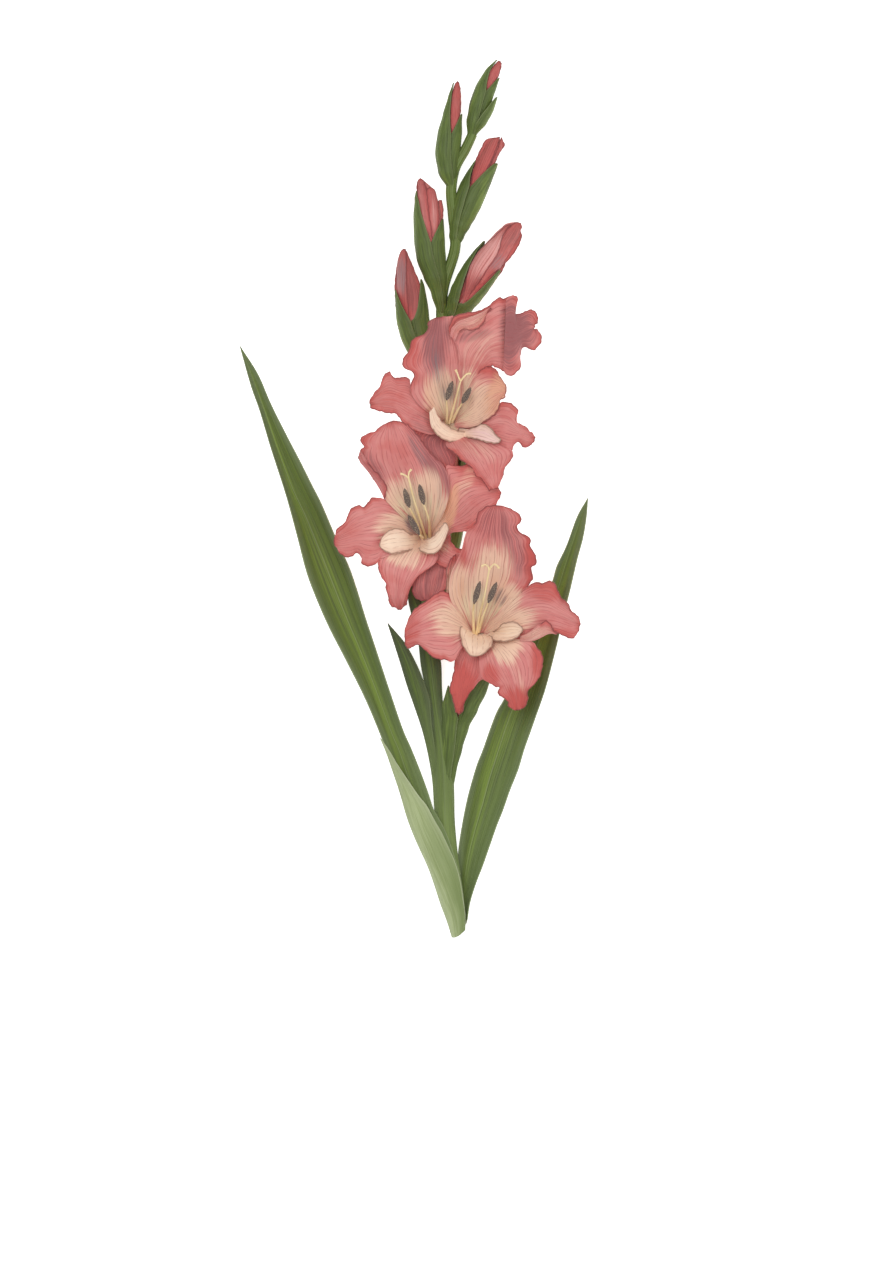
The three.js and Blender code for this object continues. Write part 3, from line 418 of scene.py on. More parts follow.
class Tree(Layout):
    """A geometry node tree with named inputs, applied once to a piece."""

    def __init__(self, name: str, inputs: dict[str, Union[float, int]]) -> None:
        """Starts the tree.

        Args:
            name: The tree's name.
            inputs: Default by input name; an input with a whole one takes whole numbers.
        """
        super().__init__(bpy.data.node_groups.new(name, "GeometryNodeTree"))
        face = self.tree.interface
        face.new_socket("Geometry", in_out="INPUT", socket_type="NodeSocketGeometry")
        face.new_socket("Geometry", in_out="OUTPUT", socket_type="NodeSocketGeometry")
        for label, default in inputs.items():
            kind = "NodeSocketInt" if isinstance(default, int) else "NodeSocketFloat"
            face.new_socket(label, in_out="INPUT", socket_type=kind).default_value = default
        face.new_socket("Finish", in_out="INPUT", socket_type="NodeSocketMaterial")
        self.start = self.tree.nodes.new("NodeGroupInput")
        self.end = self.tree.nodes.new("NodeGroupOutput")

    def mark(self, name: str) -> Socket:
        """The named number stored at each point."""
        return self.add("GeometryNodeInputNamedAttribute", {"Name": name}, data_type="FLOAT")

    def store(self, geometry: Socket, name: str, value: Value) -> Socket:
        """Stores a number at each point under a name."""
        inputs = {"Geometry": geometry, "Name": name, "Value": value}
        return self.add("GeometryNodeStoreNamedAttribute", inputs, data_type="FLOAT")

    def push(self, geometry: Socket, distance: Socket) -> Socket:
        """Moves each point along its normal by a distance."""
        normal = self.add("GeometryNodeInputNormal", {})
        offset = self.add("ShaderNodeVectorMath", {0: normal, "Scale": distance}, operation="SCALE")
        return self.add("GeometryNodeSetPosition", {"Geometry": geometry, "Offset": offset})

    def close(self, geometry: Socket) -> None:
        """Ends the tree: instances made real, smooth faces, the finish set."""
        real = self.add("GeometryNodeRealizeInstances", {"Geometry": geometry})
        even = self.add("GeometryNodeSetShadeSmooth", {"Geometry": real})
        finish = self.start.outputs["Finish"]
        dressed = self.add("GeometryNodeSetMaterial", {"Geometry": even, "Material": finish})
        self.tree.links.new(dressed, self.end.inputs[0])

    def apply(self, piece: Piece, finish: Material, **inputs: Union[float, int]) -> None:
        """Runs the tree on a piece and keeps the result as its plain mesh.

        Args:
            piece: The object to change.
            finish: The material that the tree sets.
            **inputs: Values by input name, with an underscore for a space.
        """
        modifier = piece.modifiers.new("shape", "NODES")
        modifier.node_group = self.tree
        wanted = {"Finish": finish, **{label.replace("_", " "): v for label, v in inputs.items()}}
        for item in self.tree.interface.items_tree:
            if item.in_out == "INPUT" and item.name in wanted:
                modifier[item.identifier] = wanted[item.name]
        graph = bpy.context.evaluated_depsgraph_get()
        mesh = bpy.data.meshes.new_from_object(
            piece.evaluated_get(graph), preserve_all_data_layers=True, depsgraph=graph
        )
        piece.modifiers.remove(modifier)
        old, piece.data = piece.data, mesh
        bpy.data.meshes.remove(old)
        mesh.name = piece.name


class VeinTree(Tree):
    """Raises fine lengthwise veins, which follow a leaf, bract or tepal from foot to end."""

    def __init__(self) -> None:
        """Builds the tree."""
        super().__init__("veins", {"Veins": 12.0, "Height": 0.0001, "Wander": 0.5, "Seed": 0.0})
        given = self.start.outputs
        along, across = self.mark("along"), self.mark("across")
        drift = self.add("ShaderNodeCombineXYZ", {0: self.times(across, 3.0), 1: along, 2: given["Seed"]})
        noise = self.add("ShaderNodeTexNoise", {"Vector": drift, "Scale": 2.0, "Detail": 2.0})
        turn = self.calc("MULTIPLY_ADD", across, given["Veins"], self.times(noise, given["Wander"]))
        wave = self.calc("SINE", self.times(turn, 2 * math.pi))
        ridge = self.calc("POWER", self.calc("ABSOLUTE", wave), 2.0)
        fade = self.calc("SUBTRACT", 1.0, self.calc("POWER", along, 6.0))
        height = self.times(self.times(ridge, fade), given["Height"])
        self.close(self.push(given["Geometry"], height))


class StalkTree(Tree):
    """Sweeps a ridged round section along a path whose points hold a radius."""

    def __init__(self) -> None:
        """Builds the tree."""
        super().__init__("stalk", {"Sides": 24, "Ridges": 12.0, "Ridge Height": 0.0001})
        given = self.start.outputs
        path = self.add("GeometryNodeMeshToCurve", {"Mesh": given["Geometry"]})
        section = self.add("GeometryNodeCurvePrimitiveCircle", {"Resolution": given["Sides"], "Radius": 1.0})
        share = self.add("GeometryNodeSplineParameter", {})
        sweep = {
            "Curve": self.store(path, "along", share),
            "Profile Curve": self.store(section, "across", share),
            "Scale": self.mark("radius"),
            "Fill Caps": True,
        }
        swept = self.add("GeometryNodeCurveToMesh", sweep)
        wave = self.calc("COSINE", self.times(self.times(self.mark("across"), given["Ridges"]), 2 * math.pi))
        self.close(self.push(swept, self.times(wave, given["Ridge Height"])))


class PollenTree(Tree):
    """Scatters pollen grains over an anther."""

    def __init__(self) -> None:
        """Builds the tree."""
        super().__init__("pollen", {"Density": 4e6, "Grain": 0.00022, "Seed": SEED})
        given = self.start.outputs
        scatter = {"Mesh": given["Geometry"], "Density": given["Density"], "Seed": given["Seed"]}
        spots = self.add("GeometryNodeDistributePointsOnFaces", scatter)
        ball = self.add("GeometryNodeMeshIcoSphere", {"Radius": given["Grain"], "Subdivisions": 1})
        grain = self.store(ball, "grain", 1.0)
        grains = self.add("GeometryNodeInstanceOnPoints", {"Points": spots, "Instance": grain})
        both = self.node("GeometryNodeJoinGeometry", {})
        self.tree.links.new(given["Geometry"], both.inputs[0])
        self.tree.links.new(grains, both.inputs[0])
        self.close(both.outputs[0])


# ------------------------------------------------------------------ finishes
class Sketch(Layout):
    """Lays out the nodes of one material, which read the numbers marked on a piece."""

    def __init__(self, name: str) -> None:
        """Starts a material with its surface shader.

        Args:
            name: The material's name.
        """
        self.material = bpy.data.materials.new(name)
        self.material.use_nodes = True
        super().__init__(self.material.node_tree)
        self.shader = self.tree.nodes["Principled BSDF"]

    def mark(self, name: str) -> Socket:
        """The piece's named number."""
        return self.node("ShaderNodeAttribute", {}, attribute_name=name).outputs["Fac"]

    def ease(self, value: Value, low: float, high: float) -> Socket:
        """0 at low, 1 at high, eased between; low may be the larger."""
        inputs = {"Value": value, "From Min": low, "From Max": high}
        return self.add("ShaderNodeMapRange", inputs, interpolation_type="SMOOTHSTEP")

    def wave(self, turn: Value) -> Socket:
        """0 at every whole number, 1 half way between."""
        return self.calc("ABSOLUTE", self.calc("SINE", self.times(turn, math.pi)))

    def vector(self, x: Value, y: Value, z: Value) -> Socket:
        """Three numbers as one place."""
        return self.add("ShaderNodeCombineXYZ", {0: x, 1: y, 2: z})

    def lanes(self, wide: float, long: float) -> Socket:
        """A place that is stretched out along the piece."""
        across, along = self.times(self.mark("across"), wide), self.times(self.mark("along"), long)
        return self.vector(across, along, self.mark("tone"))

    def noise(self, place: Socket, scale: float = 1.0, detail: float = 3.0) -> Socket:
        """Soft noise about one half."""
        return self.add("ShaderNodeTexNoise", {"Vector": place, "Scale": scale, "Detail": detail})

    def speckle(self, scale: float, detail: float = 2.0) -> Socket:
        """Noise that is the same in every direction, by the place on the object in metres."""
        return self.noise(self.node("ShaderNodeTexCoord", {}).outputs["Object"], scale, detail)

    def mix(self, share: Value, first: Value, second: Value) -> Socket:
        """Two colours mixed by a share."""
        return self.node("ShaderNodeMix", {0: share, 6: first, 7: second}, data_type="RGBA").outputs[2]

    def coat(self, tint: Value, mask: Socket, strength: float, code: str) -> Socket:
        """A colour laid over another where the mask is, at a strength."""
        return self.mix(self.times(mask, strength), tint, colour(code))

    def finish(
        self, tint: Value, roughness: Value, height: Value, depth_mm: float, **constants: float
    ) -> Material:
        """Wires the colour, roughness and relief.

        Args:
            tint: The base colour.
            roughness: The roughness.
            height: The relief, about 0 to 1.
            depth_mm: How deep a relief of 1 is.
            **constants: Further shader inputs, with an underscore for a space.

        Returns:
            The material.
        """
        bump = self.add("ShaderNodeBump", {"Height": height, "Distance": depth_mm * METRE, "Strength": 1.0})
        wired = {"Base Color": tint, "Roughness": roughness, "Normal": bump}
        for label, value in {**wired, **constants}.items():
            self.put(self.shader.inputs[label.replace("_", " ")], value)
        return self.material


@dataclass(frozen=True)
class TepalFinish:
    """Salmon tepal: finely veined, redder at its rim, washed with paler colours and with painted shade in
    bands, folds and the throat.
    """

    name: str = "petal"  # the material's name
    body: str = "#cb7976"  # main colour
    light: str = "#dc9f96"  # paler streaks
    rim: str = "#be5650"  # colour of the outer two or three millimetres
    cream: str = "#e6c1a8"  # pale colour round the throat
    peach: str = "#dba385"  # warmer pale colour
    tan: str = "#dccbab"  # colour deep in the throat
    painted_shade: str = "#95595a"  # painted shade: colour of shaded bands, of folds and of tepals that lie under others
    mauve: str = "#857072"  # painted shade: greyish colour of the deepest shade
    vein: str = "#9c4c4b"  # colour of veins and freckles
    line: str = "#84403f"  # colour of the very edge
    veins: float = 17.0  # number of vein lines across

    ROUGHNESS = 0.62
    RELIEF_MM = 0.14
    RAGGED = 2.7  # how far a wash runs out in streaks
    RIM_MM = (4.6, 0.5)  # the rim's colour starts this far in, and is full here
    LINE_MM = (1.05, 0.35)  # the same for the very edge

    def build(self) -> Material:
        """Builds the material."""
        s = Sketch(self.name)
        edge, broad, fine = s.mark("edge"), s.noise(s.lanes(7.0, 1.4)), s.noise(s.lanes(60.0, 4.0))
        hatch = s.ease(s.noise(s.lanes(24.0, 1.7)), 0.36, 0.64)
        uneven = s.calc("SUBTRACT", s.calc("MULTIPLY_ADD", broad, 1.6, s.times(hatch, 0.7)), 1.15)
        tint = s.coat(colour(self.body), s.ease(broad, 0.42, 0.68), 0.35, self.light)
        tint = s.coat(tint, hatch, 0.32, self.light)
        tint = s.coat(tint, s.ease(s.speckle(90.0, 3.0), 0.45, 0.7), 0.35, self.rim)
        tint = s.mix(self.streaky(s, "blush", uneven), tint, colour(self.rim))
        tint = s.coat(tint, s.ease(s.calc("MULTIPLY_ADD", uneven, -3.6, edge), *self.RIM_MM), 0.8, self.rim)
        # The first and the last of these washes are painted shade.
        for wash in ("painted_shade", "cream", "peach", "tan", "mauve"):
            tint = s.mix(self.streaky(s, wash, uneven), tint, colour(getattr(self, wash)))
        line = self.vein_lines(s)
        for mask in (line, self.freckles(s)):
            tint = s.coat(tint, mask, 0.55, self.vein)
        tint = s.coat(tint, s.ease(edge, *self.LINE_MM), 0.8, self.line)
        relief = s.calc("SUBTRACT", s.times(fine, 0.5), s.times(line, 0.6))
        gloss = {"Sheen_Weight": 0.12, "Sheen_Roughness": 0.5, "Specular_IOR_Level": 0.25}
        return s.finish(tint, self.ROUGHNESS, relief, self.RELIEF_MM, **gloss)

    def streaky(self, s: Sketch, wash: str, uneven: Socket) -> Socket:
        """A wash whose soft edge runs out in streaks along the veins."""
        mask = s.mark(wash)
        spread = s.times(s.times(mask, s.calc("SUBTRACT", 1.0, mask)), self.RAGGED)
        return s.ease(s.calc("MULTIPLY_ADD", spread, uneven, mask), 0.0, 1.0)

    def vein_lines(self, s: Sketch) -> Socket:
        """Thin broken lines from the throat to the rim."""
        sway, broken = (s.noise(s.lanes(*lanes), detail=2.0) for lanes in ((2.0, 2.0), (9.0, 7.0)))
        turn = s.calc("MULTIPLY_ADD", s.mark("across"), self.veins / 2, s.times(sway, 1.6))
        return s.times(s.ease(s.wave(turn), 0.42, 0.06), s.ease(broken, 0.38, 0.56))

    def freckles(self, s: Sketch) -> Socket:
        """Short dark flecks that lie along the veins, one in a few places."""
        cells = s.node("ShaderNodeTexVoronoi", {"Vector": s.lanes(13.0, 5.0), "Scale": 1.0})
        chosen = s.calc("GREATER_THAN", s.add("ShaderNodeSeparateColor", {0: cells.outputs["Color"]}), 0.6)
        return s.times(s.ease(cells.outputs["Distance"], 0.13, 0.05), chosen)


@dataclass(frozen=True)
class LeafFinish:
    """Green blade with fine parallel lines: yellower in the middle, greyer towards its edges."""

    name: str  # the material's name
    deep: str  # main colour
    bright: str  # streaks of fresher green
    rib: str  # colour along the rib
    edge: str  # colour of the outer millimetres
    shade: str  # colour of the fine lines
    foot: str  # colour towards the foot, on the right
    cut: str = "#a3a48a"  # colour of the cut foot
    lanes: float = 24.0  # how fine the streaks are across the blade
    rib_share: float = 0.3  # how strongly the rib shows
    edge_mm: float = 5.0  # width of the greyer edge
    foot_side: float = -0.5  # share across where the foot's colour begins

    def build(self) -> Material:
        """Builds the material."""
        s = Sketch(self.name)
        along, across, edge = (s.mark(m) for m in ("along", "across", "edge"))
        fine, broad = s.noise(s.lanes(self.lanes, 4.0), detail=4.0), s.noise(s.lanes(3.4, 3.0), 1.2)
        off_rib = s.calc("ABSOLUTE", across)
        fresh = s.ease(s.calc("MULTIPLY_ADD", fine, 0.35, broad), 0.55, 0.85)
        tint = s.mix(s.times(fresh, s.ease(off_rib, 0.85, 0.1)), colour(self.deep), colour(self.bright))
        tint = s.coat(tint, s.ease(fine, 0.45, 0.7), 0.35, self.bright)
        tint = s.coat(tint, s.ease(edge, self.edge_mm, self.edge_mm * 0.15), 0.7, self.edge)
        low = s.times(s.ease(along, 0.75, 0.1), s.ease(across, self.foot_side, self.foot_side + 1.4))
        tint = s.coat(tint, low, 0.8, self.foot)
        tint = s.coat(tint, s.ease(off_rib, 0.06, 0.0), self.rib_share, self.rib)
        sway = s.calc("MULTIPLY_ADD", broad, 0.8, s.times(across, self.lanes / 2.4))
        line = s.times(s.ease(s.wave(sway), 0.5, 0.05), s.ease(fine, 0.62, 0.4))
        tint = s.coat(tint, line, 0.5, self.shade)
        tint = s.coat(tint, s.ease(edge, 0.8, 0.2), 0.45, self.rib)
        tint = s.mix(s.ease(along, 0.0015, 0.0), tint, colour(self.cut))
        relief = s.calc("SUBTRACT", s.calc("MULTIPLY_ADD", s.speckle(900.0), 0.2, fine), s.times(line, 0.4))
        rough = s.calc("MULTIPLY_ADD", broad, 0.2, 0.42)
        return s.finish(tint, rough, relief, 0.2, Specular_IOR_Level=0.3, Sheen_Weight=0.05)


@dataclass(frozen=True)
class StalkFinish:
    """Ridged stalk, such as the stem, a filament or the style."""

    name: str  # the material's name
    body: str  # main colour
    ridge: str  # colour of the ridges
    mottle: str  # colour of soft patches
    lanes: float = 14.0  # how fine the streaks are round the stalk
    roughness: float = 0.5  # roughness

    def build(self) -> Material:
        """Builds the material."""
        s = Sketch(self.name)
        turn = s.times(s.mark("across"), 2 * math.pi)
        place = s.vector(s.calc("COSINE", turn), s.calc("SINE", turn), s.times(s.mark("along"), 1.2))
        streak = s.noise(place, self.lanes / 3, 4.0)
        tint = s.mix(s.ease(streak, 0.35, 0.7), colour(self.body), colour(self.ridge))
        tint = s.coat(tint, s.ease(s.speckle(60.0, 3.0), 0.45, 0.75), 0.5, self.mottle)
        return s.finish(tint, self.roughness, streak, 0.15, Specular_IOR_Level=0.3)


@dataclass(frozen=True)
class GrainFinish:
    """Powdery anther: dark violet grey, stippled with paler pollen grains."""

    name: str  # the material's name
    dark: str  # main colour
    middling: str  # colour of the grains in shade
    pale: str  # colour of the grains that catch the light

    def build(self) -> Material:
        """Builds the material."""
        s = Sketch(self.name)
        speck, patch = s.speckle(1500.0), s.speckle(420.0)
        grain = s.mix(s.ease(patch, 0.4, 0.62), colour(self.middling), colour(self.pale))
        skin = s.coat(colour(self.dark), s.ease(speck, 0.45, 0.7), 0.5, self.middling)
        return s.finish(s.mix(s.mark("grain"), skin, grain), 0.85, speck, 0.1, Sheen_Weight=0.15)


@dataclass(frozen=True)
class TableFinish:
    """Plain pale table with a hardly visible mottle, lit from within so that shadows stay faint."""

    name: str = "table"
    light: str = "#fbfbfa"
    dark: str = "#f7f7f5"
    glow: float = 0.75

    def build(self) -> Material:
        """Builds the material."""
        s = Sketch(self.name)
        mottle = s.speckle(8.0)
        tint = s.mix(mottle, colour(self.light), colour(self.dark))
        return s.finish(tint, 0.9, mottle, 0.01, Emission_Strength=self.glow)


class Tint(Enum):
    """The washes of colour that a tepal takes on top of its main colour."""

    CREAM = "cream"
    PEACH = "peach"
    TAN = "tan"
    # Painted shade of bands, folds and tepals that lie under others.
    PAINTED_SHADE = "painted_shade"
    # Painted deepest shade, greyish; the lobes' finish makes it a pale pink.
    MAUVE = "mauve"
    BLUSH = "blush"


@dataclass(frozen=True)
class Wash:
    """A soft oval of colour on one or more tepals."""

    tint: Tint  # which colour
    on: tuple[str, ...]  # names of the tepals that take it
    middle: tuple[float, float]  # its middle, in picture pixels
    reach: tuple[float, float]  # half its length across and down, in picture pixels
    turn: float = 0.0  # degrees that it is turned by
    strength: float = 1.0  # how strong its middle is

    def over(self, points: Array) -> Array:
        """How strong the wash is at points in millimetres."""
        px = points[..., 0] / MM_PER_PX + ORIGIN_PX[0] - self.middle[0]
        py = ORIGIN_PX[1] - points[..., 1] / MM_PER_PX - self.middle[1]
        cos, sin = math.cos(math.radians(self.turn)), math.sin(math.radians(self.turn))
        far = np.hypot((px * cos + py * sin) / self.reach[0], (py * cos - px * sin) / self.reach[1])
        return self.strength * smooth(-far, -1.15, -0.35)


def washes(given: dict[Tint, dict[str, tuple]]) -> tuple[Wash, ...]:
    """Washes by colour and by the tepals they lie on.

    Args:
        given: Ovals by colour and by tepals, whose names have a space between. An oval is its middle
            across and down, its reach across and down, degrees turned and strength.

    Returns:
        The washes.
    """
    return tuple(
        Wash(tint, tuple(on.split()), oval[:2], oval[2:4], *oval[4:])
        for tint, sets in given.items()
        for on, ovals in sets.items()
        for oval in ovals
    )


@dataclass
class Studio:
    """The finishes and trees that the pieces share."""

    petal: Material
    lobe: Material
    bud: Material
    leaf: Material
    shaded_leaf: Material
    flap: Material
    bract: Material
    stem: Material
    cream: Material
    anther: Material
    veins: VeinTree
    stalks: StalkTree
    pollen: PollenTree

    @classmethod
    def opened(cls) -> "Studio":
        """Builds every finish and tree once."""
        finishes = {
            "petal": TepalFinish(),
            "lobe": TepalFinish(
                "throat_lobe", body="#f1d4bb", light="#f6e2cd", rim="#e3bda6", cream="#f2d8bd",
                peach="#e9c19f", tan="#c5a68c", painted_shade="#cda795", mauve="#ecc6c2", vein="#b98873",
                line="#9a7462", veins=5.0,
            ),
            "bud": TepalFinish(
                "bud_flower", body="#ba6763", light="#cb837d", rim="#b3504c", cream="#dca39d",
                peach="#d08d7e", tan="#8c6a55", painted_shade="#92504d", mauve="#957a7c", vein="#8f4443",
                line="#7c3c3b", veins=7.0,
            ),
            "leaf": LeafFinish(
                "leaf", deep="#505f24", bright="#6e832b", rib="#97a377", edge="#6f7c58", shade="#3a4721",
                foot="#667744",
            ),
            # A darker copy of the leaf finish: painted shade for the leaves in the shade of the stem and the
            # outer leaves.
            "shaded_leaf": LeafFinish(
                "leaf_shaded", deep="#424f24", bright="#5f7231", rib="#6f7c52", edge="#4c563a",
                shade="#333b1d", foot="#798b4d", foot_side=-3.0,
            ),
            "flap": LeafFinish(
                "leaf_back", deep="#98a572", bright="#b0bb8c", rib="#c0c7a4", edge="#a3ad84",
                shade="#77854f", foot="#627438", lanes=16.0, rib_share=0.0,
            ),
            "bract": LeafFinish(
                "bract", deep="#4f5f2a", bright="#75883f", rib="#7f8c58", edge="#515c31", shade="#343e1b",
                foot="#4f5e28", lanes=13.0, rib_share=0.1, edge_mm=1.6,
            ),
            "stem": StalkFinish("stem", body="#56682b", ridge="#708143", mottle="#646f3d"),
            "cream": StalkFinish("style", body="#e6c995", ridge="#f3dfb4", mottle="#cfb078", roughness=0.6),
            "anther": GrainFinish("anther", dark="#5c4e47", middling="#806f62", pale="#ae9880"),
        }
        built = {name: finish.build() for name, finish in finishes.items()}
        return cls(**built, veins=VeinTree(), stalks=StalkTree(), pollen=PollenTree())


class Slot(Enum):
    """Slot names for the pieces' finishes; nothing in this script gives a piece a slot."""

    STEM = "stem_green"
    LEAF = "leaf_green"
    BRACT = "bract_green"
    BUD = "bud_coral"
    PETAL = "petal_coral"
    STYLE = "style_cream"
    STAMEN = "stamen_grey"


def settle(piece: Piece, node: str) -> Piece:
    """Puts a finished piece in a node's place.

    Args:
        piece: The finished object.
        node: The node that it stands for.

    Returns:
        The piece.
    """
    spots = np.empty(len(piece.data.vertices) * 3, np.float32)
    piece.data.vertices.foreach_get("co", spots)
    spots[2::3] = np.maximum(spots[2::3], 0.0)
    piece.data.vertices.foreach_set("co", spots)
    piece.data.update()
    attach(piece, BODY)
    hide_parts(node)
    log.info("%s: %d faces", piece.name, len(piece.data.polygons))
    return piece


def join(name: str, pieces: Sequence[Piece]) -> Piece:
    """Joins objects into the first, which takes the name."""
    with bpy.context.temp_override(active_object=pieces[0], selected_editable_objects=list(pieces)):
        bpy.ops.object.join()
    pieces[0].name = pieces[0].data.name = name
    return pieces[0]


def stalk(
    name: str, points: Sequence[Point], radii: Sequence[float], rings: int, studio: Studio,
    finish: Material, sides: int = 16, ridges: float = 6.0, ridge_mm: float = 0.0,
) -> Piece:
    """Sweeps a tapering stalk along a path.

    Args:
        name: The object's name.
        points: Plan points of its path.
        radii: Radii in millimetres, given evenly along it.
        rings: How many rings it has.
        studio: The shared trees.
        finish: Its material.
        sides: Sides round it.
        ridges: Ridges round it.
        ridge_mm: How high they stand.

    Returns:
        The stalk.
    """
    shares = np.linspace(0, 1, rings)
    mesh = bpy.data.meshes.new(name)
    places = Curve(points).at(shares) * METRE
    mesh.from_pydata(places.tolist(), [(k, k + 1) for k in range(rings - 1)], [])
    mesh.attributes.new("radius", "FLOAT", "POINT").data.foreach_set(
        "value", (through(radii, shares) * METRE).astype(np.float32)
    )
    made = bpy.data.objects.new(name, mesh)
    bpy.context.scene.collection.objects.link(made)
    studio.stalks.apply(made, finish, Sides=sides, Ridges=ridges, Ridge_Height=ridge_mm * METRE)
    return made


# ------------------------------------------------------------------ stem
@dataclass
class Stem:
    """The flowering stem, which zigzags a little between the buds."""

    path: tuple = ((459, 932, 4.6), (455, 905, 5), (450, 880, 5.4), (445, 845, 5.6), (443.5, 810, 5.6),
        (443, 760, 5.4), (439, 725, 5), (434, 690, 4.5), (432, 650, 4.1), (436, 610, 3.7), (446, 570, 4),
        (456, 535, 4.4), (460, 490, 5), (458, 430, 5.8), (450, 375, 6.6), (442, 330, 7.1), (443, 290, 7.4),
        (455, 248, 7.6), (453, 215, 7.6), (451, 190, 7.6), (455, 168, 7.6), (465, 150, 7.6),
        (472.5, 134, 7.8))
    radii: tuple = (3.3, 4.5, 4.8, 4.6, 4.4, 4.2, 4.1, 3.9, 3.6, 3.4, 3.3, 3.2, 3.2, 3.2, 2.9)
    rings: int = 240
    ridges: int = 11
    ridge_mm: float = 0.1

    def build(self, studio: Studio) -> None:
        """Builds the stem."""
        section = {"sides": 6 * self.ridges, "ridges": self.ridges, "ridge_mm": self.ridge_mm}
        piece = stalk("stem_fine", self.path, self.radii, self.rings, studio, studio.stem, **section)
        settle(piece, "stem")


# ------------------------------------------------------------------ leaves
@dataclass
class SwordLeaf:
    """A sword-shaped leaf, creased along its rib, that clasps the stem at its foot."""

    node: str
    blade: Blade
    steps: tuple[int, int] = (190, 28)
    flap: Union[Blade, None] = None
    rib_mm: float = 0.35
    tone: float = 0.0
    inner: bool = False  # in the shade between the stem and the outer leaves, so it takes the darker copy of the leaf finish: painted shade

    RIB_HALF_WIDTH = 0.18  # as a share of half the blade
    RELIEF_MM = 0.16

    def ribbed(self, u: Array, v: Array) -> Array:
        """The height of the raised rib."""
        return self.rib_mm * np.exp(-((v / self.RIB_HALF_WIDTH) ** 2)) * (1 - u)

    def thickness(self, u: Array, v: Array) -> Array:
        """Thick along the rib, thin at the edges."""
        return LEAF_MM * (1 - 0.5 * v**4) * (1 - 0.5 * u**8)

    def sheet(self, blade: Blade, tone: float) -> Form:
        """One blade as a closed form."""
        return Sheet(blade.surface(), self.steps, self.thickness, even_tone(tone), self.ribbed).form()

    def build(self, studio: Studio) -> None:
        """Builds the leaf, with its folded side if it has one."""
        pieces = [self.sheet(self.blade, self.tone).to_object(self.node + "_fine")]
        # Leaves in the shade take the darker copy of the finish: painted shade.
        finish = studio.shaded_leaf if self.inner else studio.leaf
        relief = self.RELIEF_MM * METRE
        studio.veins.apply(pieces[0], finish, Veins=9.0, Height=relief, Wander=0.2, Seed=self.tone)
        if self.flap:
            fold = self.sheet(self.flap, self.tone + 1).to_object(self.node + "_flap")
            studio.veins.apply(fold, studio.flap, Veins=7.0, Height=relief, Wander=0.3, Seed=self.tone)
            pieces.append(fold)
        settle(join(self.node + "_fine", pieces), self.node)


LONG_LEFT = Blade(
    left=((452, 937, 4.5), (447.5, 922, 4.5), (440.5, 903, 4.5), (434, 883, 4.5), (427.5, 865, 4.5),
        (420, 849, 4.5), (413, 833, 4.5), (407, 817, 4.5), (400, 793, 4.5), (393, 772, 4.5),
        (386, 752, 4.5), (381, 736, 4.5), (365, 698, 4.2), (346.5, 661, 4), (329, 627, 4), (315, 595, 4),
        (306, 570, 4), (297, 535, 3.8), (285, 491, 3.4), (271, 448, 2.8), (260, 411, 2.2), (251, 386, 1.6),
        (240, 347, 0.9)),
    rib=((459, 934, 9.4), (457, 915, 10.4), (453, 900, 11.4), (448, 881, 12.8), (440, 862, 12.8),
        (433, 846, 12), (425, 825, 10.6), (419, 808, 9), (413, 790, 7.4), (406, 770, 5.4), (399, 750, 3.6),
        (391, 731, 2.6), (376, 690, 1.4), (361, 652, 0.8), (345, 614, 0.5), (333, 584, 0.4),
        (322, 556, 0.4), (306, 517, 0.4), (292, 487, 0.4), (278, 450, 0.4), (266, 415, 0.4),
        (255, 384, 0.5), (240.4, 346, 0.8)),
    right=((465, 930, 7), (464.5, 912, 8), (463.5, 900, 9.4), (461, 880, 12.6), (455, 858, 13),
        (446, 832, 13), (437, 815, 12.4), (433, 808, 11.6), (428, 792, 9.4), (420, 770, 7), (411, 748, 6),
        (403, 730, 5.5), (392, 698, 5), (374.5, 645, 5), (365.5, 618, 5), (357, 590, 5), (349, 567, 5),
        (338, 543, 4.6), (322, 505, 4.2), (313, 487, 3.8), (299, 459, 3.2), (287, 436, 2.7),
        (271, 404, 2.1), (258, 374, 1.5), (240.8, 347, 0.9)),
)
# The folded-over side of the long left leaf, which shows the leaf's pale back.
LEFT_FLAP = Blade(
    left=(
        *((x, y, 5.1) for x, y, _ in LONG_LEFT.left[:10]), (386, 752, 5.0), (380, 738, 4.9),
    ),
    rib=((458, 936, 10.4), (455, 915, 11.8), (449, 898, 13), (441, 878, 13.8), (434, 862, 13.6),
        (427, 845, 12.8), (420, 829, 11.6), (414, 812, 10.2), (408, 797, 9.2), (402, 783, 8.2),
        (395, 768, 7), (388, 752, 5.9), (380.4, 738, 5.1)),
    right=((465, 929, 9), (465, 915, 10), (463, 900, 11.4), (460, 880, 13.2), (455, 862, 14.4),
        (449, 848, 14.6), (442, 833, 14.4), (434, 819, 13.6), (427, 806, 12.3), (419, 796, 10.9),
        (410, 783, 9.5), (398, 765, 7.5), (389, 750, 6.2), (380.8, 738, 5.2)),
)
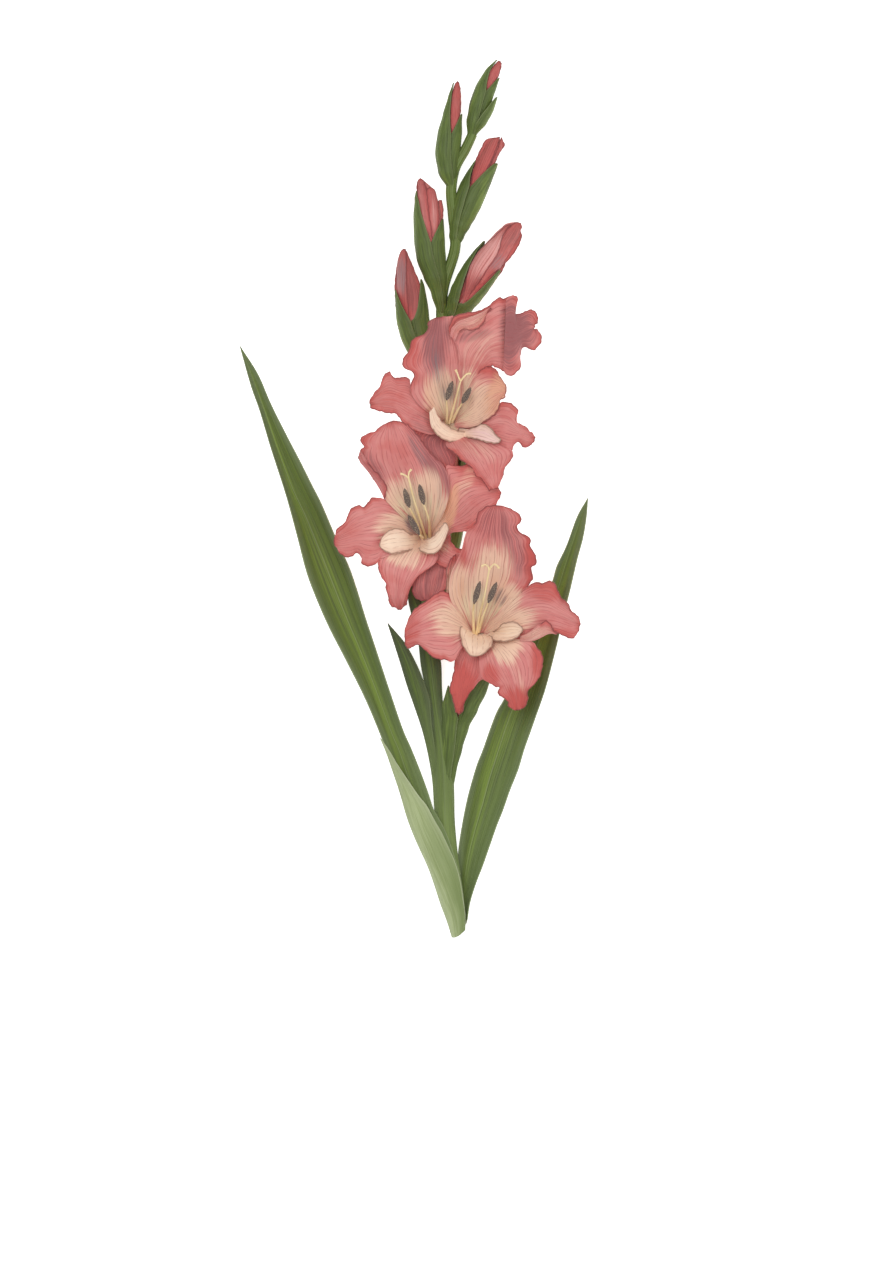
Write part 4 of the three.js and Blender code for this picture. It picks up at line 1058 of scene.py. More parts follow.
LONG_RIGHT = Blade(
    left=((462, 927, 1.4), (459, 905, 1.3), (457, 880, 1.6), (458, 856, 2), (461, 832, 2.6), (466, 805, 3),
        (471, 785, 3.4), (477, 765, 3.8), (483, 750, 4), (490, 730, 4), (497, 712, 4), (505, 698, 4),
        (519, 668, 4), (533, 635, 4), (545, 603, 4), (553, 580, 3.6), (557, 566, 3.3), (567, 545, 2.8),
        (577, 517, 2), (587.2, 499, 0.9)),
    rib=((465, 925, 2.4), (464, 905, 2), (465, 880, 1.4), (469, 855, 1), (475, 830, 0.8), (482, 806, 0.6),
        (489, 780, 0.5), (497, 755, 0.4), (505, 730, 0.4), (513, 708, 0.4), (528, 670, 0.4),
        (541, 635, 0.4), (551, 608, 0.4), (559, 585, 0.4), (566, 562, 0.4), (575, 535, 0.4),
        (587.6, 498, 0.8)),
    right=((467, 920, 4.2), (470, 902, 4.5), (476, 883, 4.6), (483, 865, 4.6), (490, 845, 4.6),
        (497, 825, 4.6), (503, 810, 4.6), (510, 790, 4.6), (518, 770, 4.6), (524, 750, 4.6),
        (530, 733, 4.6), (536, 716, 4.6), (545, 690, 4.6), (553, 660, 4.5), (559, 635, 4.4), (564, 613, 4),
        (570, 590, 3.6), (577, 560, 3), (583, 538, 2.4), (586.5, 517, 1.6), (588, 499, 0.9)),
)
SHORT_LEFT = Blade(
    left=((436, 824, 4.6), (434.4, 803, 3.8), (432.6, 780, 3.8), (428.4, 755, 4.8), (422.4, 730, 5.6),
        (414, 705, 6), (407, 685, 6), (401, 665, 6), (394, 643, 6), (387.6, 624, 6.2)),
    rib=((436, 824, 6.8), (435.6, 803, 6.2), (434.8, 780, 6.2), (431.4, 752, 7), (426, 727, 8),
        (421, 703, 8.8), (415.5, 683, 9.3), (409, 665, 9), (399.5, 643, 8), (388, 623, 6.4)),
    right=((438, 824, 8), (438, 803, 7.6), (437.6, 780, 7.8), (435.5, 750, 8.8), (432, 725, 9.6),
        (430, 700, 10), (424, 682, 9.8), (417, 665, 9.6), (405, 643, 8.4), (388.6, 624, 6.4)),
)
MIDDLE = Blade(
    left=((444, 870, 8), (438, 845, 7), (435, 820, 6), (434.5, 795, 5.6), (433.5, 770, 5.6),
        (433, 745, 6.4), (431, 715, 7.4), (426, 690, 7.4), (421, 665, 7.4), (418, 640, 7.6),
        (411, 613, 7.6), (408, 598, 7.8), (407.6, 580, 8)),
    rib=((452, 872, 11.2), (447, 845, 11.3), (445, 820, 11.2), (444.5, 795, 11.2), (443.5, 770, 11.2),
        (441, 745, 11.1), (437, 715, 10.8), (434, 690, 10.5), (431, 665, 10.2), (427, 640, 9.8),
        (419, 611, 9), (413, 596, 8.6), (408, 579, 8.2)),
    right=((460.5, 874, 7.4), (457, 850, 7), (454.5, 820, 6.4), (454, 795, 6.6), (453, 770, 8),
        (449.5, 745, 10.4), (444, 715, 11), (442, 690, 10.2), (441, 662, 9.6), (436, 640, 9.4),
        (427, 611, 9), (418, 594, 8.6), (408.6, 579, 8.2)),
)
LEAVES = (
    SwordLeaf("leaf_long_left", LONG_LEFT, (260, 32), LEFT_FLAP, tone=1.0),
    SwordLeaf("leaf_long_right", LONG_RIGHT, (240, 32), tone=3.0),
    SwordLeaf("leaf_short_left", SHORT_LEFT, tone=5.0, inner=True),
    SwordLeaf("leaf_middle", MIDDLE, tone=7.0, inner=True),
)


# ------------------------------------------------------------------ bracts
@dataclass
class Bract:
    """A pointed green valve that wraps part of the way round an axis."""

    node: str  # the node's name
    axis: tuple  # plan points of the axis
    radius: Callable[[Array], Array]  # distance from the axis in millimetres, by share of it
    side: float  # angle of its middle in degrees, 0 on the right and 90 facing up
    tip: float  # share of the axis where it ends
    notch: float  # share of the axis where its half angle has fallen to 90 degrees
    wrap: float = 112.0  # degrees either side of its middle, at its foot
    tone: float = 0.0  # number that sets its streaks
    hug: float = 0.5  # how far its edges bend inwards, in millimetres
    fullness: float = 1.0  # 1 for an even point, more for one that stays wide for longer

    TIP_ANGLE = 0.8  # half angle in degrees of the very tip
    STEPS = (72, 32)

    def surface(self, u: Array, v: Array) -> Array:
        """The grid of points at shares along and across."""
        beyond, before = np.maximum(0, 2 * u - 1), np.maximum(0, 1 - 2 * u)
        s = self.notch * (1 - before) + (self.tip - self.notch) * beyond
        point = np.maximum(np.degrees(np.arccos(np.clip(beyond, 0, 1) ** self.fullness)), self.TIP_ANGLE)
        half = np.where(s > self.notch, point, 90 + (self.wrap - 90) * before)
        angle = np.radians(self.side + v[None, :] * half[:, None])
        reach = self.radius(s)[:, None] - self.hug / BUD_DEPTH * np.abs(v[None, :]) ** 5
        return hoops(Curve(self.axis), s, reach, angle, BUD_DEPTH)

    def build(self, studio: Studio) -> None:
        """Builds the bract."""
        thickness = lambda u, v: BRACT_MM * (1 - 0.55 * v**4) * (1 - 0.4 * u**6)
        sheet = Sheet(self.surface, self.STEPS, thickness, even_tone(self.tone))
        piece = sheet.form().to_object(self.node + "_fine")
        studio.veins.apply(piece, studio.bract, Veins=6.0, Height=0.12 * METRE, Wander=0.2, Seed=self.tone)
        settle(piece, self.node)


# ------------------------------------------------------------------ buds
SOLID_BRACT_MM = 0.7  # a bract's thickness in the solids
INNER_CLEAR = GAP_MM + SOLID_BRACT_MM / 2 + 0.45  # inner bract off the closed flower
OUTER_CLEAR = INNER_CLEAR + SOLID_BRACT_MM + GAP_MM + 0.25


def stand_off(s: Array, notch: float, tip: float, clear: float) -> Array:
    """How far a bract stands off its flower, which its point is pressed against."""
    return clear - (clear - INNER_CLEAR) * np.clip((s - notch) / (tip - notch), 0, 1)


def two_bracts(
    node: str, axis: tuple, half_width: Callable[[Array], Array], parting: tuple[float, float, float],
    tones: tuple[float, float], turn: float, fullness: float, studio: Studio,
) -> None:
    """Builds an outer bract on the left and an inner one on the right.

    Args:
        node: Start of their nodes' names.
        axis: Plan points of the axis that they wrap.
        half_width: Half the width of what they wrap, by share of the axis.
        parting: Shares of the axis where they part, and where the two end.
        tones: Numbers that set the streaks of the two.
        turn: Degrees that both are turned by.
        fullness: How long the inner one stays wide.
        studio: The shared finishes and trees.
    """
    notch, *tips = parting
    sides = (("outer", 180, OUTER_CLEAR, 1.0), ("inner", 0, INNER_CLEAR, fullness))
    for (name, side, clear, wide), tip, tone in zip(sides, tips, tones):
        radius = lambda s: half_width(s) + stand_off(s, notch, tip, clear) / BUD_DEPTH
        made = Bract(f"{node}_bract_{name}", axis, radius, side + turn, tip, notch, tone=tone, fullness=wide)
        made.build(studio)


@dataclass
class Bud:
    """A closed coral flower, its tepals laid over each other, between an outer and an inner bract."""

    node: str  # start of its nodes' names
    axis: tuple  # plan points of its axis
    half_widths: tuple  # even along the axis, in picture pixels
    notch: float  # share of the axis where the bracts part
    left_tip: float  # share of the axis where the outer bract ends
    right_tip: float  # share of the axis where the inner bract ends
    petals: tuple  # left and right edge of each tepal in front, the lowest first, in picture pixels
    washes: tuple[Wash, ...] = ()  # colours laid on the tepals, which are named by their number
    tone: float = 0.0  # number that sets its streaks
    turn: float = 0.0  # degrees that the bracts are turned by, so that they part left of the middle
    fullness: float = 1.0  # how long the inner bract stays wide

    START = 0.17  # share of the axis where the closed flower begins
    FOLDS = 3
    TWIST = 2.4  # how far the folds turn round the axis, in radians
    SIDES = 72
    RINGS = 110
    PETAL_STEPS = (60, 24)
    CORE = 0.93  # width of the rolled-up tepals under those in front
    DOME = 0.12  # share of the flower over which its end closes
    LAYER_MM = 0.28

    def half_width(self, s: Array) -> Array:
        """Half the flower's width in millimetres."""
        return through(self.half_widths, np.clip(s, 0, 1)) * MM_PER_PX

    def core(self) -> Form:
        """Three tepals rolled round each other, closed in a dome."""
        shares = 1 - np.linspace(1, 0, self.RINGS) ** 1.6
        s = self.START + (1 - self.START) * shares
        angle = np.linspace(0, 2 * math.pi, self.SIDES, endpoint=False)
        turn = self.FOLDS * angle[None, :] + self.TWIST * s[:, None]
        fold = (turn / (2 * math.pi)) % 1
        overlap = smooth(fold, 0, 0.8) * (1 - smooth(fold, 0.9, 1.0))
        crease = 0.04 * (1 - np.cos(turn)) + 0.06 * (1 - overlap)
        dome = np.maximum(shares - 1 + self.DOME, 0) / self.DOME
        close = np.sqrt(np.clip(1 - dome**2, 0.002, 1))[:, None]
        radius = self.half_width(s)[:, None] * self.CORE * (1 - crease) * close
        low = 0 * fold
        marks = {tint.value: low for tint in Tint}
        marks |= {
            "along": shares[:, None] + low, "across": fold * 2 - 1, "tone": low + self.tone,
            "edge": 6 * np.minimum(fold, 1 - fold) + 0.6, "cream": 0.3 * smooth(overlap, 0.5, 1.0) + low,
            # Painted shade, darker towards the flower's foot.
            "painted_shade": 0.4 * smooth(-shares, -0.45, -0.1)[:, None] + low,
        }
        return rings_form(hoops(Curve(self.axis), s, radius, angle, BUD_DEPTH), marks)

    def press(self, layer: int) -> Callable[[Array], Array]:
        """Lays points of the plan on the flower's upper side.

        Args:
            layer: How many tepals lie beneath.

        Returns:
            A function that sets the height of points in millimetres.
        """
        path = Curve(self.axis)
        shares = np.linspace(0, 1, 160)
        spine = path.at(shares)
        ahead = np.gradient(spine[:, :2], axis=0)
        ahead = ahead / np.linalg.norm(ahead, axis=1, keepdims=True)

        def place(points: Array) -> Array:
            """The points at their height."""
            flat = points[..., None, :2] - spine[:, :2]
            near = np.argmin((flat**2).sum(-1), axis=-1)
            off = np.take_along_axis(flat, near[..., None, None], axis=-2)[..., 0, :]
            along = (off * ahead[near]).sum(-1)
            s = np.clip(shares[near] + along / path.length, 0, 1)
            square = (off**2).sum(-1) - along**2
            height = BUD_DEPTH * np.sqrt(np.maximum(self.half_width(s) ** 2 - square, 0))
            z = np.interp(s, shares, spine[:, 2]) + height + (layer - 1) * self.LAYER_MM
            return np.concatenate([points[..., :2], z[..., None]], axis=-1)

        return place

    def flower(self, studio: Studio) -> None:
        """Builds the closed flower."""
        forms = [self.core()]
        for layer, edges in enumerate(self.petals):
            left, right = (tuple((x, y, 0) for x, y in edge) for edge in edges)
            laid = tuple(w for w in self.washes if str(layer) in w.on)
            blade = Blade(left, (), right, (0, 0))
            number = int(10 * self.tone) + layer
            petal = Tepal(blade, number, laid, self.PETAL_STEPS, 0.0, 0.1, 0.1, self.press(layer))
            forms.append(petal.form())
        piece = Form.joined(forms).to_object(self.node + "_flower_fine")
        studio.veins.apply(piece, studio.bud, Veins=5.0, Height=0.06 * METRE, Wander=0.2, Seed=self.tone)
        settle(piece, self.node + "_flower")

    def build(self, studio: Studio) -> None:
        """Builds the flower and its bracts."""
        self.flower(studio)
        parting, tones = (self.notch, self.left_tip, self.right_tip), (self.tone + 3, self.tone)
        two_bracts(self.node, self.axis, self.half_width, parting, tones, self.turn, self.fullness, studio)


@dataclass
class TopBud(Bud):
    """The topmost bud, which has a third, small bract outside the other two."""

    def build(self, studio: Studio) -> None:
        """Builds the bud and its small bract."""
        super().build(studio)
        off = (OUTER_CLEAR + SOLID_BRACT_MM + 0.2) / BUD_DEPTH
        radius = lambda s: self.half_width(s) + off * smooth(s, -0.2, 0.3)
        small = Bract(
            self.node + "_bract_small", self.axis, radius, side=10, tip=0.56, notch=0.02, wrap=92,
            tone=self.tone + 5, hug=0.4,
        )
        small.build(studio)


BUDS = (
    Bud(
        "bud_1_left",
        ((448, 384, 10), (435, 367, 11), (422, 348, 10.8), (415.3, 325, 10.2), (412.3, 305, 9.8),
            (409, 285, 9.6), (405, 265, 9.2), (404, 249, 9)),
        (0, 4, 9.2, 11.7, 12.6, 12.3, 9.3, 4), 0.5, 0.74, 0.77,
        ((((397, 325), (395, 300), (394.5, 285), (395.5, 274), (397.5, 262), (400.5, 252), (403, 249)),
          ((411, 325), (410, 300), (409.5, 283), (409, 268), (408, 257), (405.5, 249))),
         (((409, 325), (407.5, 300), (406, 283), (406, 268), (406, 256), (404.5, 249.5)),
          ((421, 325), (423, 305), (423.5, 294), (420, 284), (415.5, 273), (411.5, 263), (405.5, 249.3)))),
        washes({
            # Painted shade, greyish.
            Tint.MAUVE: {"0": ((401, 276, 8, 24, 0, 0.6),)},
            # Painted shade in darker bands.
            Tint.PAINTED_SHADE: {"0 1": ((407, 278, 10, 36, -8, 0.6),), "1": ((415, 300, 8, 24, -12, 0.5),)},
            Tint.BLUSH: {"0 1": ((401, 306, 9, 24, -16, 0.9),), "1": ((409, 262, 6, 16, -12, 0.5),)},
        }),
        tone=1.0,
        turn=14.0,
        fullness=0.5,
    ),
    Bud(
        "bud_2_right",
        ((448, 325, 7.6), (458.5, 309, 8.4), (468.7, 291.5, 9.2), (482, 270, 9.6), (497.6, 247.6, 9.6),
            (510, 232, 9.4), (519, 223, 9)),
        (0, 5.5, 10, 12.4, 13.8, 14.4, 14.2, 13.2, 11.9, 10, 6), 0.2, 0.72, 0.6,
        ((((463, 303), (470, 290), (478, 280), (487, 270), (495, 262), (501, 256)),
          ((464, 306), (475, 298.5), (484, 291.5), (492, 284), (499, 276), (503.5, 269), (506, 262))),
         (((484, 270), (491, 259), (497, 249), (500, 240), (505, 232), (511, 225.5), (516, 222.5),
              (520, 223)),
          ((480, 285), (493, 274), (503, 266), (511, 257.5), (516, 250.5), (520, 243), (522, 236),
              (520.5, 231), (522, 227.5), (521, 223.5))),
         (((462, 305), (464, 292), (466, 280), (469, 268), (474, 258), (480, 250), (487, 243), (494, 237),
              (500, 231), (505, 226.5), (510.5, 224.5)),
          ((464, 304), (473, 291), (482, 279), (489, 268), (496, 258), (500, 249), (502, 240), (505, 233),
              (511, 225)))),
        washes({
            Tint.CREAM: {"2": ((486, 258, 12, 32, 38, 0.6), (496, 240, 8, 16, 38, 0.3))},
            # Painted shade in darker bands.
            Tint.PAINTED_SHADE: {
                "2": ((473, 286, 9, 22, 38, 0.45),),
                "1 2": ((506, 240, 7, 20, 30, 0.45),),
                "1": ((517, 236, 8, 14, 20, 0.4),),
            },
            Tint.BLUSH: {"2": ((466, 282, 5, 26, 30, 0.6),), "0": ((488, 281, 10, 26, 50, 0.6),)},
            # Painted shade, greyish.
            Tint.MAUVE: {"0 1": ((497, 262, 11, 12, 38, 0.45),)},
        }),
        tone=2.0,
        turn=16.0,
        fullness=0.3,
    ),
    Bud(
        "bud_3_left",
        ((442.5, 313, 8), (441, 298, 8.4), (438, 280, 9), (433, 260, 9.4), (430.7, 240, 9.4),
            (429, 215, 9.2), (427, 195, 9), (421, 179, 8.6)),
        (0, 3.6, 8, 10.6, 11.4, 11.6, 10, 4), 0.52, 0.93, 0.69,
        ((((431, 248), (432, 228), (434, 215), (436, 206), (438, 201.5), (440, 200)),
          ((440, 248), (441, 232), (442.5, 222), (443.5, 213), (443, 205), (441.5, 200))),
         (((430, 248), (428, 225), (427, 210), (426, 197), (426.5, 190), (429, 187.5)),
          ((436, 248), (438, 232), (439, 220), (439, 210), (437.5, 200), (435, 191), (431.5, 187.5))),
         (((426, 250), (424, 236), (421, 222), (418.5, 209), (417, 200), (416.5, 190), (417, 182),
              (420, 178.5)),
          ((433, 248), (432, 230), (430, 218), (428.5, 205), (427.5, 195), (426, 187), (424.5, 182),
              (421, 178.5)))),
        washes({
            # Painted shade near the tip and lower down.
            Tint.PAINTED_SHADE: {"2 1": ((421, 186, 10, 12, 0, 0.4),), "0 1 2": ((433, 240, 12, 14, 0, 0.5),)},
            Tint.CREAM: {"1": ((434, 215, 4, 24, 0, 0.35),), "2": ((424, 212, 4, 26, -8, 0.25),)},
        }),
        tone=3.0,
    ),
    Bud(
        "bud_4_right",
        ((455.5, 247, 7.7), (460.5, 226, 7.5), (468, 206, 7.4), (475.7, 187, 7.3), (484.3, 168, 7.4),
            (493, 151, 7.3), (499, 138, 7.2)),
        (0, 3.5, 6.6, 8.6, 9.8, 10.0, 9.8, 9.2, 8.6, 7.8, 4.5), 0.52, 0.76, 0.8,
        ((((474, 196), (483, 178), (489, 167), (494, 156), (498, 147), (500, 140), (501, 137)),
          ((478, 196), (486, 183), (491, 172), (496, 161), (500, 152.5), (503.5, 148), (505, 144),
              (503, 141), (502, 138.5))),
         (((472, 196), (471.5, 180), (473, 170), (475, 162), (478, 154), (482, 146), (485, 140.5),
              (488.5, 138.5)),
          ((476, 196), (482, 181), (487, 170), (492, 160), (496, 150), (499, 142), (500, 137)))),
        washes({
            Tint.BLUSH: {"1": ((489, 150, 7, 20, 24, 0.5), (477, 178, 9, 24, 20, 0.8))},
            # Painted shade in darker bands.
            Tint.PAINTED_SHADE: {"1": ((480, 182, 8, 16, 20, 0.3),), "0": ((494, 165, 6, 24, 24, 0.45),)},
        }),
        tone=4.0,
        turn=25.0,
    ),
    Bud(
        "bud_5_left",
        ((453, 188, 8), (450, 173, 8.2), (449, 155, 8.2), (451, 135, 8.2), (454, 112, 8), (456.5, 95, 7.8),
            (457.5, 81, 7.6)),
        (0, 6.4, 8.5, 8.0, 6.2, 4.7, 1.8), 0.5, 0.98, 0.7,
        ((((452, 140), (450, 122), (450.3, 110), (451, 98), (452.7, 90), (455, 84), (457.5, 81.5)),
          ((458, 136), (460, 120), (461, 110), (461.2, 100), (460.7, 90), (459, 82.5))),),
        washes({
            Tint.BLUSH: {"0": ((457, 92, 6, 14, 0, 0.6), (455, 118, 6, 18, 0, 0.3))},
        }),
        tone=5.0,
    ),
    TopBud(
        "bud_6_top",
        ((472.6, 136, 7.8), (475.2, 124, 8), (480.5, 107, 7.9), (486.5, 90, 7.8), (493, 75, 7.6),
            (500.5, 61, 7.4)),
        (0.2, 4.2, 6.2, 6.0, 5.0, 1.8), 0.58, 0.99, 0.8,
        ((((488, 97), (485.8, 84), (486.8, 77), (490, 70), (495, 64), (498.8, 61)),
          ((491, 96), (495.6, 84), (498.8, 76), (501, 69), (502, 63))),),
        washes({Tint.BLUSH: {"0": ((497, 69, 6, 12, 24, 0.4),)}}),
        tone=6.0,
    ),
)


# ------------------------------------------------------------------ blooms
@dataclass
class Tepal:
    """One ruffled tepal, from the throat to its rim."""

    blade: Blade  # its outline
    number: int  # sets its ruffles and streaks
    washes: tuple[Wash, ...]  # colours laid on it
    steps: tuple[int, int] = (120, 44)  # mesh steps along and across
    slow: float = RUFFLE_MM  # height of the slow waves in millimetres
    frill_mm: float = 0.35  # height of the finer waves at the rim
    scallop_mm: float = 0.16  # depth of the finest notches at the rim
    press: Callable[[Array], Array] = np.asarray  # lays its surface on something else

    FRILL_WAVES_MM = (8.5, 7.0)  # length of a finer wave along the edges and across the end
    SCALLOPS_MM = (5.3, 3.1, 5.0)  # length of the notches: two along the edges, one across the end
    TONE_STEP = 3.7  # how far apart the streaks of two tepals are

    def free(self, u: Array, v: Array) -> Array:
        """1 where the nearer edge may ruffle, 0 along its plain stretch."""
        return smooth(u - np.where(v < 0, *self.blade.plain), 0.0, 0.15)

    def lift(self, u: Array, v: Array) -> Array:
        """Height of the waves: slow ones as in the solid, finer ones nearer the rim."""
        n = self.number
        edge, end = self.blade.widths()
        slow = self.slow * (np.abs(v) ** 3 * u * np.sin(17 * u + 2 * n) + 0.5 * u**4 * np.sin(7 * v + n))
        long, wide = self.FRILL_WAVES_MM
        side = np.abs(v) ** 5 * np.sin(2 * math.pi * u * edge / long + n + np.sign(v))
        rim = u**10 * np.sin(2 * math.pi * v * end / 2 / wide + 3 * n)
        return (slow + self.frill_mm * (side + rim)) * self.free(u, v)

    def spread(self, u: Array, v: Array) -> tuple[Array, Array]:
        """Small notches past the edges, sideways and lengthways."""
        n = self.number
        edge, end = self.blade.widths()
        way = np.sign(v) * np.abs(v) ** 7 * self.free(u, v)
        turn = 2 * math.pi * u * edge
        slow, quick, wide = self.SCALLOPS_MM
        side = np.sin(turn / slow + 2 * n + v) + 0.6 * np.sin(turn / quick + n)
        rim = np.sin(2 * math.pi * v * end / 2 / wide + n)
        return self.scallop_mm * way * side, self.scallop_mm * u**12 * rim

    def thickness(self, u: Array, v: Array) -> Array:
        """Thicker in the throat, thin at the rim."""
        throat, middle, rim = TEPAL_MM
        body = throat + (middle - throat) * smooth(u, 0.0, 0.4)
        return body + (rim - body) * np.maximum(np.abs(v) ** 4, u**6)

    def marking(self, points: Array) -> dict[str, Array]:
        """The washes of colour at the points."""
        marks = even_tone(self.number * self.TONE_STEP)(points)
        for tint in Tint:
            bare = np.ones(points.shape[:2])
            for wash in self.washes:
                if wash.tint is tint:
                    bare = bare * (1 - wash.over(points))
            marks[tint.value] = 1 - bare
        return marks

    def form(self) -> Form:
        """The tepal as a closed form, with no rim colour along the plain stretches."""
        base = self.blade.surface()
        pressed = lambda u, v: self.press(base(u, v))
        made = Sheet(pressed, self.steps, self.thickness, self.marking, self.lift, self.spread).form()
        u, v = made.marks["along"], made.marks["across"]
        made.marks["edge"] = made.marks["edge"] + 6 * (1 - self.free(u, v)) * smooth(np.abs(v), 0.1, 0.5)
        return made


@dataclass
class Stamen:
    """A slender cream filament with a long two-lobed anther on its end."""

    filament: tuple
    tip: tuple

    ANTHER_RADIUS_MM = 1.85
    SWELL = (0.2, 0.7, 0.95, 1.0, 0.9, 0.7, 0.2)  # the anther's girth, evenly along it
    RINGS = 36
    SIDES = 28
    FILAMENT_RADII_MM = (1.0, 0.75, 0.5)

    def anther(self, name: str) -> Piece:
        """The anther: two long lobes side by side with a groove between."""
        end = np.asarray(self.filament[-1], float)
        tip = np.asarray(self.tip, float)
        axis = [tuple(end + (tip - end) * share) for share in (0.0, 0.3, 0.7, 1.0)]
        shares = np.linspace(0, 1, self.RINGS)
        angle = np.linspace(0, 2 * math.pi, self.SIDES, endpoint=False)
        swell = through(self.SWELL, shares)[:, None] * self.ANTHER_RADIUS_MM
        groove = 0.62 + 0.38 * np.abs(np.cos(angle))[None, :] ** 0.8
        return rings_form(hoops(Curve(axis), shares, swell * groove, angle), {}).to_object(name)

    def build(self, node: str, studio: Studio) -> None:
        """Builds the stamen."""
        name = node + "_fine"
        anther = self.anther(name)
        studio.pollen.apply(anther, studio.anther, Density=2.2e6, Grain=0.19 * METRE, Seed=SEED)
        rod = stalk(name + "_rod", self.filament, self.FILAMENT_RADII_MM, 40, studio, studio.cream, 14)
        settle(join(name, [anther, rod]), node)


@dataclass
class Style:
    """The cream style, with its end split into curled branches."""

    path: tuple
    branches: tuple
    radii_mm: tuple = (0.8, 0.65, 0.55)
    branch_radii_mm: tuple = (0.55, 0.5, 0.75)

    def build(self, node: str, studio: Studio) -> None:
        """Builds the style."""
        name = node + "_fine"
        pieces = [stalk(name, self.path, self.radii_mm, 60, studio, studio.cream, 14)]
        for number, branch in enumerate(self.branches):
            points = (self.path[-1], *branch)
            end = stalk(f"{name}_{number}", points, self.branch_radii_mm, 18, studio, studio.cream, 12)
            pieces.append(end)
        settle(join(name, pieces), node)


@dataclass
class Bloom:
    """An open bloom: tube, tepals, pale throat lobes, style, stamens and two bracts."""

    node: str  # start of its nodes' names
    tube: tuple  # plan points of the flower tube, up to the throat
    tepals: dict[str, Blade]  # outlines by name
    lobes: dict[str, Blade]  # outlines of the pale lobes by name
    washes: tuple[Wash, ...]  # colours laid on the tepals
    style: Style  # the style
    stamens: dict[str, Stamen]  # the stamens by side
    axis: tuple  # plan points of the bracts' axis
    half_widths: tuple  # even along that axis, in picture pixels
    parting: tuple[float, float, float]  # shares of the axis where the bracts part, and where the two end
    fullness: float = 1.0  # how long the inner bract stays wide
    steps: tuple[int, int] = (120, 44)  # mesh steps along and across a tepal

    TUBE_RADII_MM = (1.8, 2.2, 2.8, 3.8, 5.0, 6.6)
    TUBE_RINGS = 60
    TUBE_SIDES = 48
    THROAT_MM = 3.0  # depth of the hollow in the throat
    THROAT_RINGS = 10
    LOBE_STEPS = (44, 28)
    BRACT_TONES = (10.6, 7.0)

    def throat(self) -> Form:
        """The tube, with a shallow hollow where the stalks stand."""
        path, shares = Curve(self.tube), np.linspace(0, 1, self.TUBE_RINGS)
        angle = np.linspace(0, 2 * math.pi, self.TUBE_SIDES, endpoint=False)
        tube = hoops(path, shares, through(self.TUBE_RADII_MM, shares)[:, None], angle)
        inward = np.linspace(0.95, 0.08, self.THROAT_RINGS)[:, None]
        dish = hoops(path, np.ones(self.THROAT_RINGS), self.TUBE_RADII_MM[-1] * inward, angle)
        dish[..., 2] -= self.THROAT_MM * (1 - inward**2)
        depths = np.concatenate([0 * shares, np.linspace(0.5, 1, self.THROAT_RINGS)])
        deep = depths[:, None] + 0 * angle[None, :]
        marks = {tint.value: 0 * deep for tint in Tint}
        marks |= {
            "along": 0 * deep + 0.1, "across": np.cos(angle)[None, :] + 0 * deep, "edge": 0 * deep + 9,
            # The last mark lays a light painted shade over the whole tube and its hollow.
            "tone": 0 * deep + 2, "cream": 0.3 + 0.5 * deep, "tan": 0.75 * deep, "painted_shade": 0.2 + 0 * deep,
        }
        return rings_form(np.concatenate([tube, dish]), marks)

    def laid_on(self, name: str) -> tuple[Wash, ...]:
        """The washes on one tepal or lobe."""
        return tuple(w for w in self.washes if name in w.on)

    def flower(self, studio: Studio) -> Piece:
        """Tube and tepals, then the pale lobes."""
        forms = [self.throat()]
        for number, (name, blade) in enumerate(self.tepals.items()):
            forms.append(Tepal(blade, number, self.laid_on(name), self.steps).form())
        coloured = Form.joined(forms).to_object(self.node + "_tepals_fine")
        studio.veins.apply(coloured, studio.petal, Veins=10.0, Height=0.07 * METRE, Wander=0.25)
        pale = [
            Tepal(blade, number, self.laid_on(name + "_lobe"), self.LOBE_STEPS, 0.0, 0.3, 0.15).form()
            for number, (name, blade) in enumerate(self.lobes.items(), start=20)
        ]
        lobes = Form.joined(pale).to_object(self.node + "_lobes_fine")
        studio.veins.apply(lobes, studio.lobe, Veins=6.0, Height=0.05 * METRE, Wander=0.2)
        return join(self.node + "_tepals_fine", [coloured, lobes])

    def build(self, studio: Studio) -> None:
        """Builds every piece of the bloom."""
        settle(self.flower(studio), self.node + "_tepals")
        self.style.build(self.node + "_style", studio)
        for side, stamen in self.stamens.items():
            stamen.build(f"{self.node}_stamen_{side}", studio)
        width = lambda s: through(self.half_widths, s) * MM_PER_PX
        two_bracts(self.node, self.axis, width, self.parting, self.BRACT_TONES, 0.0, self.fullness, studio)


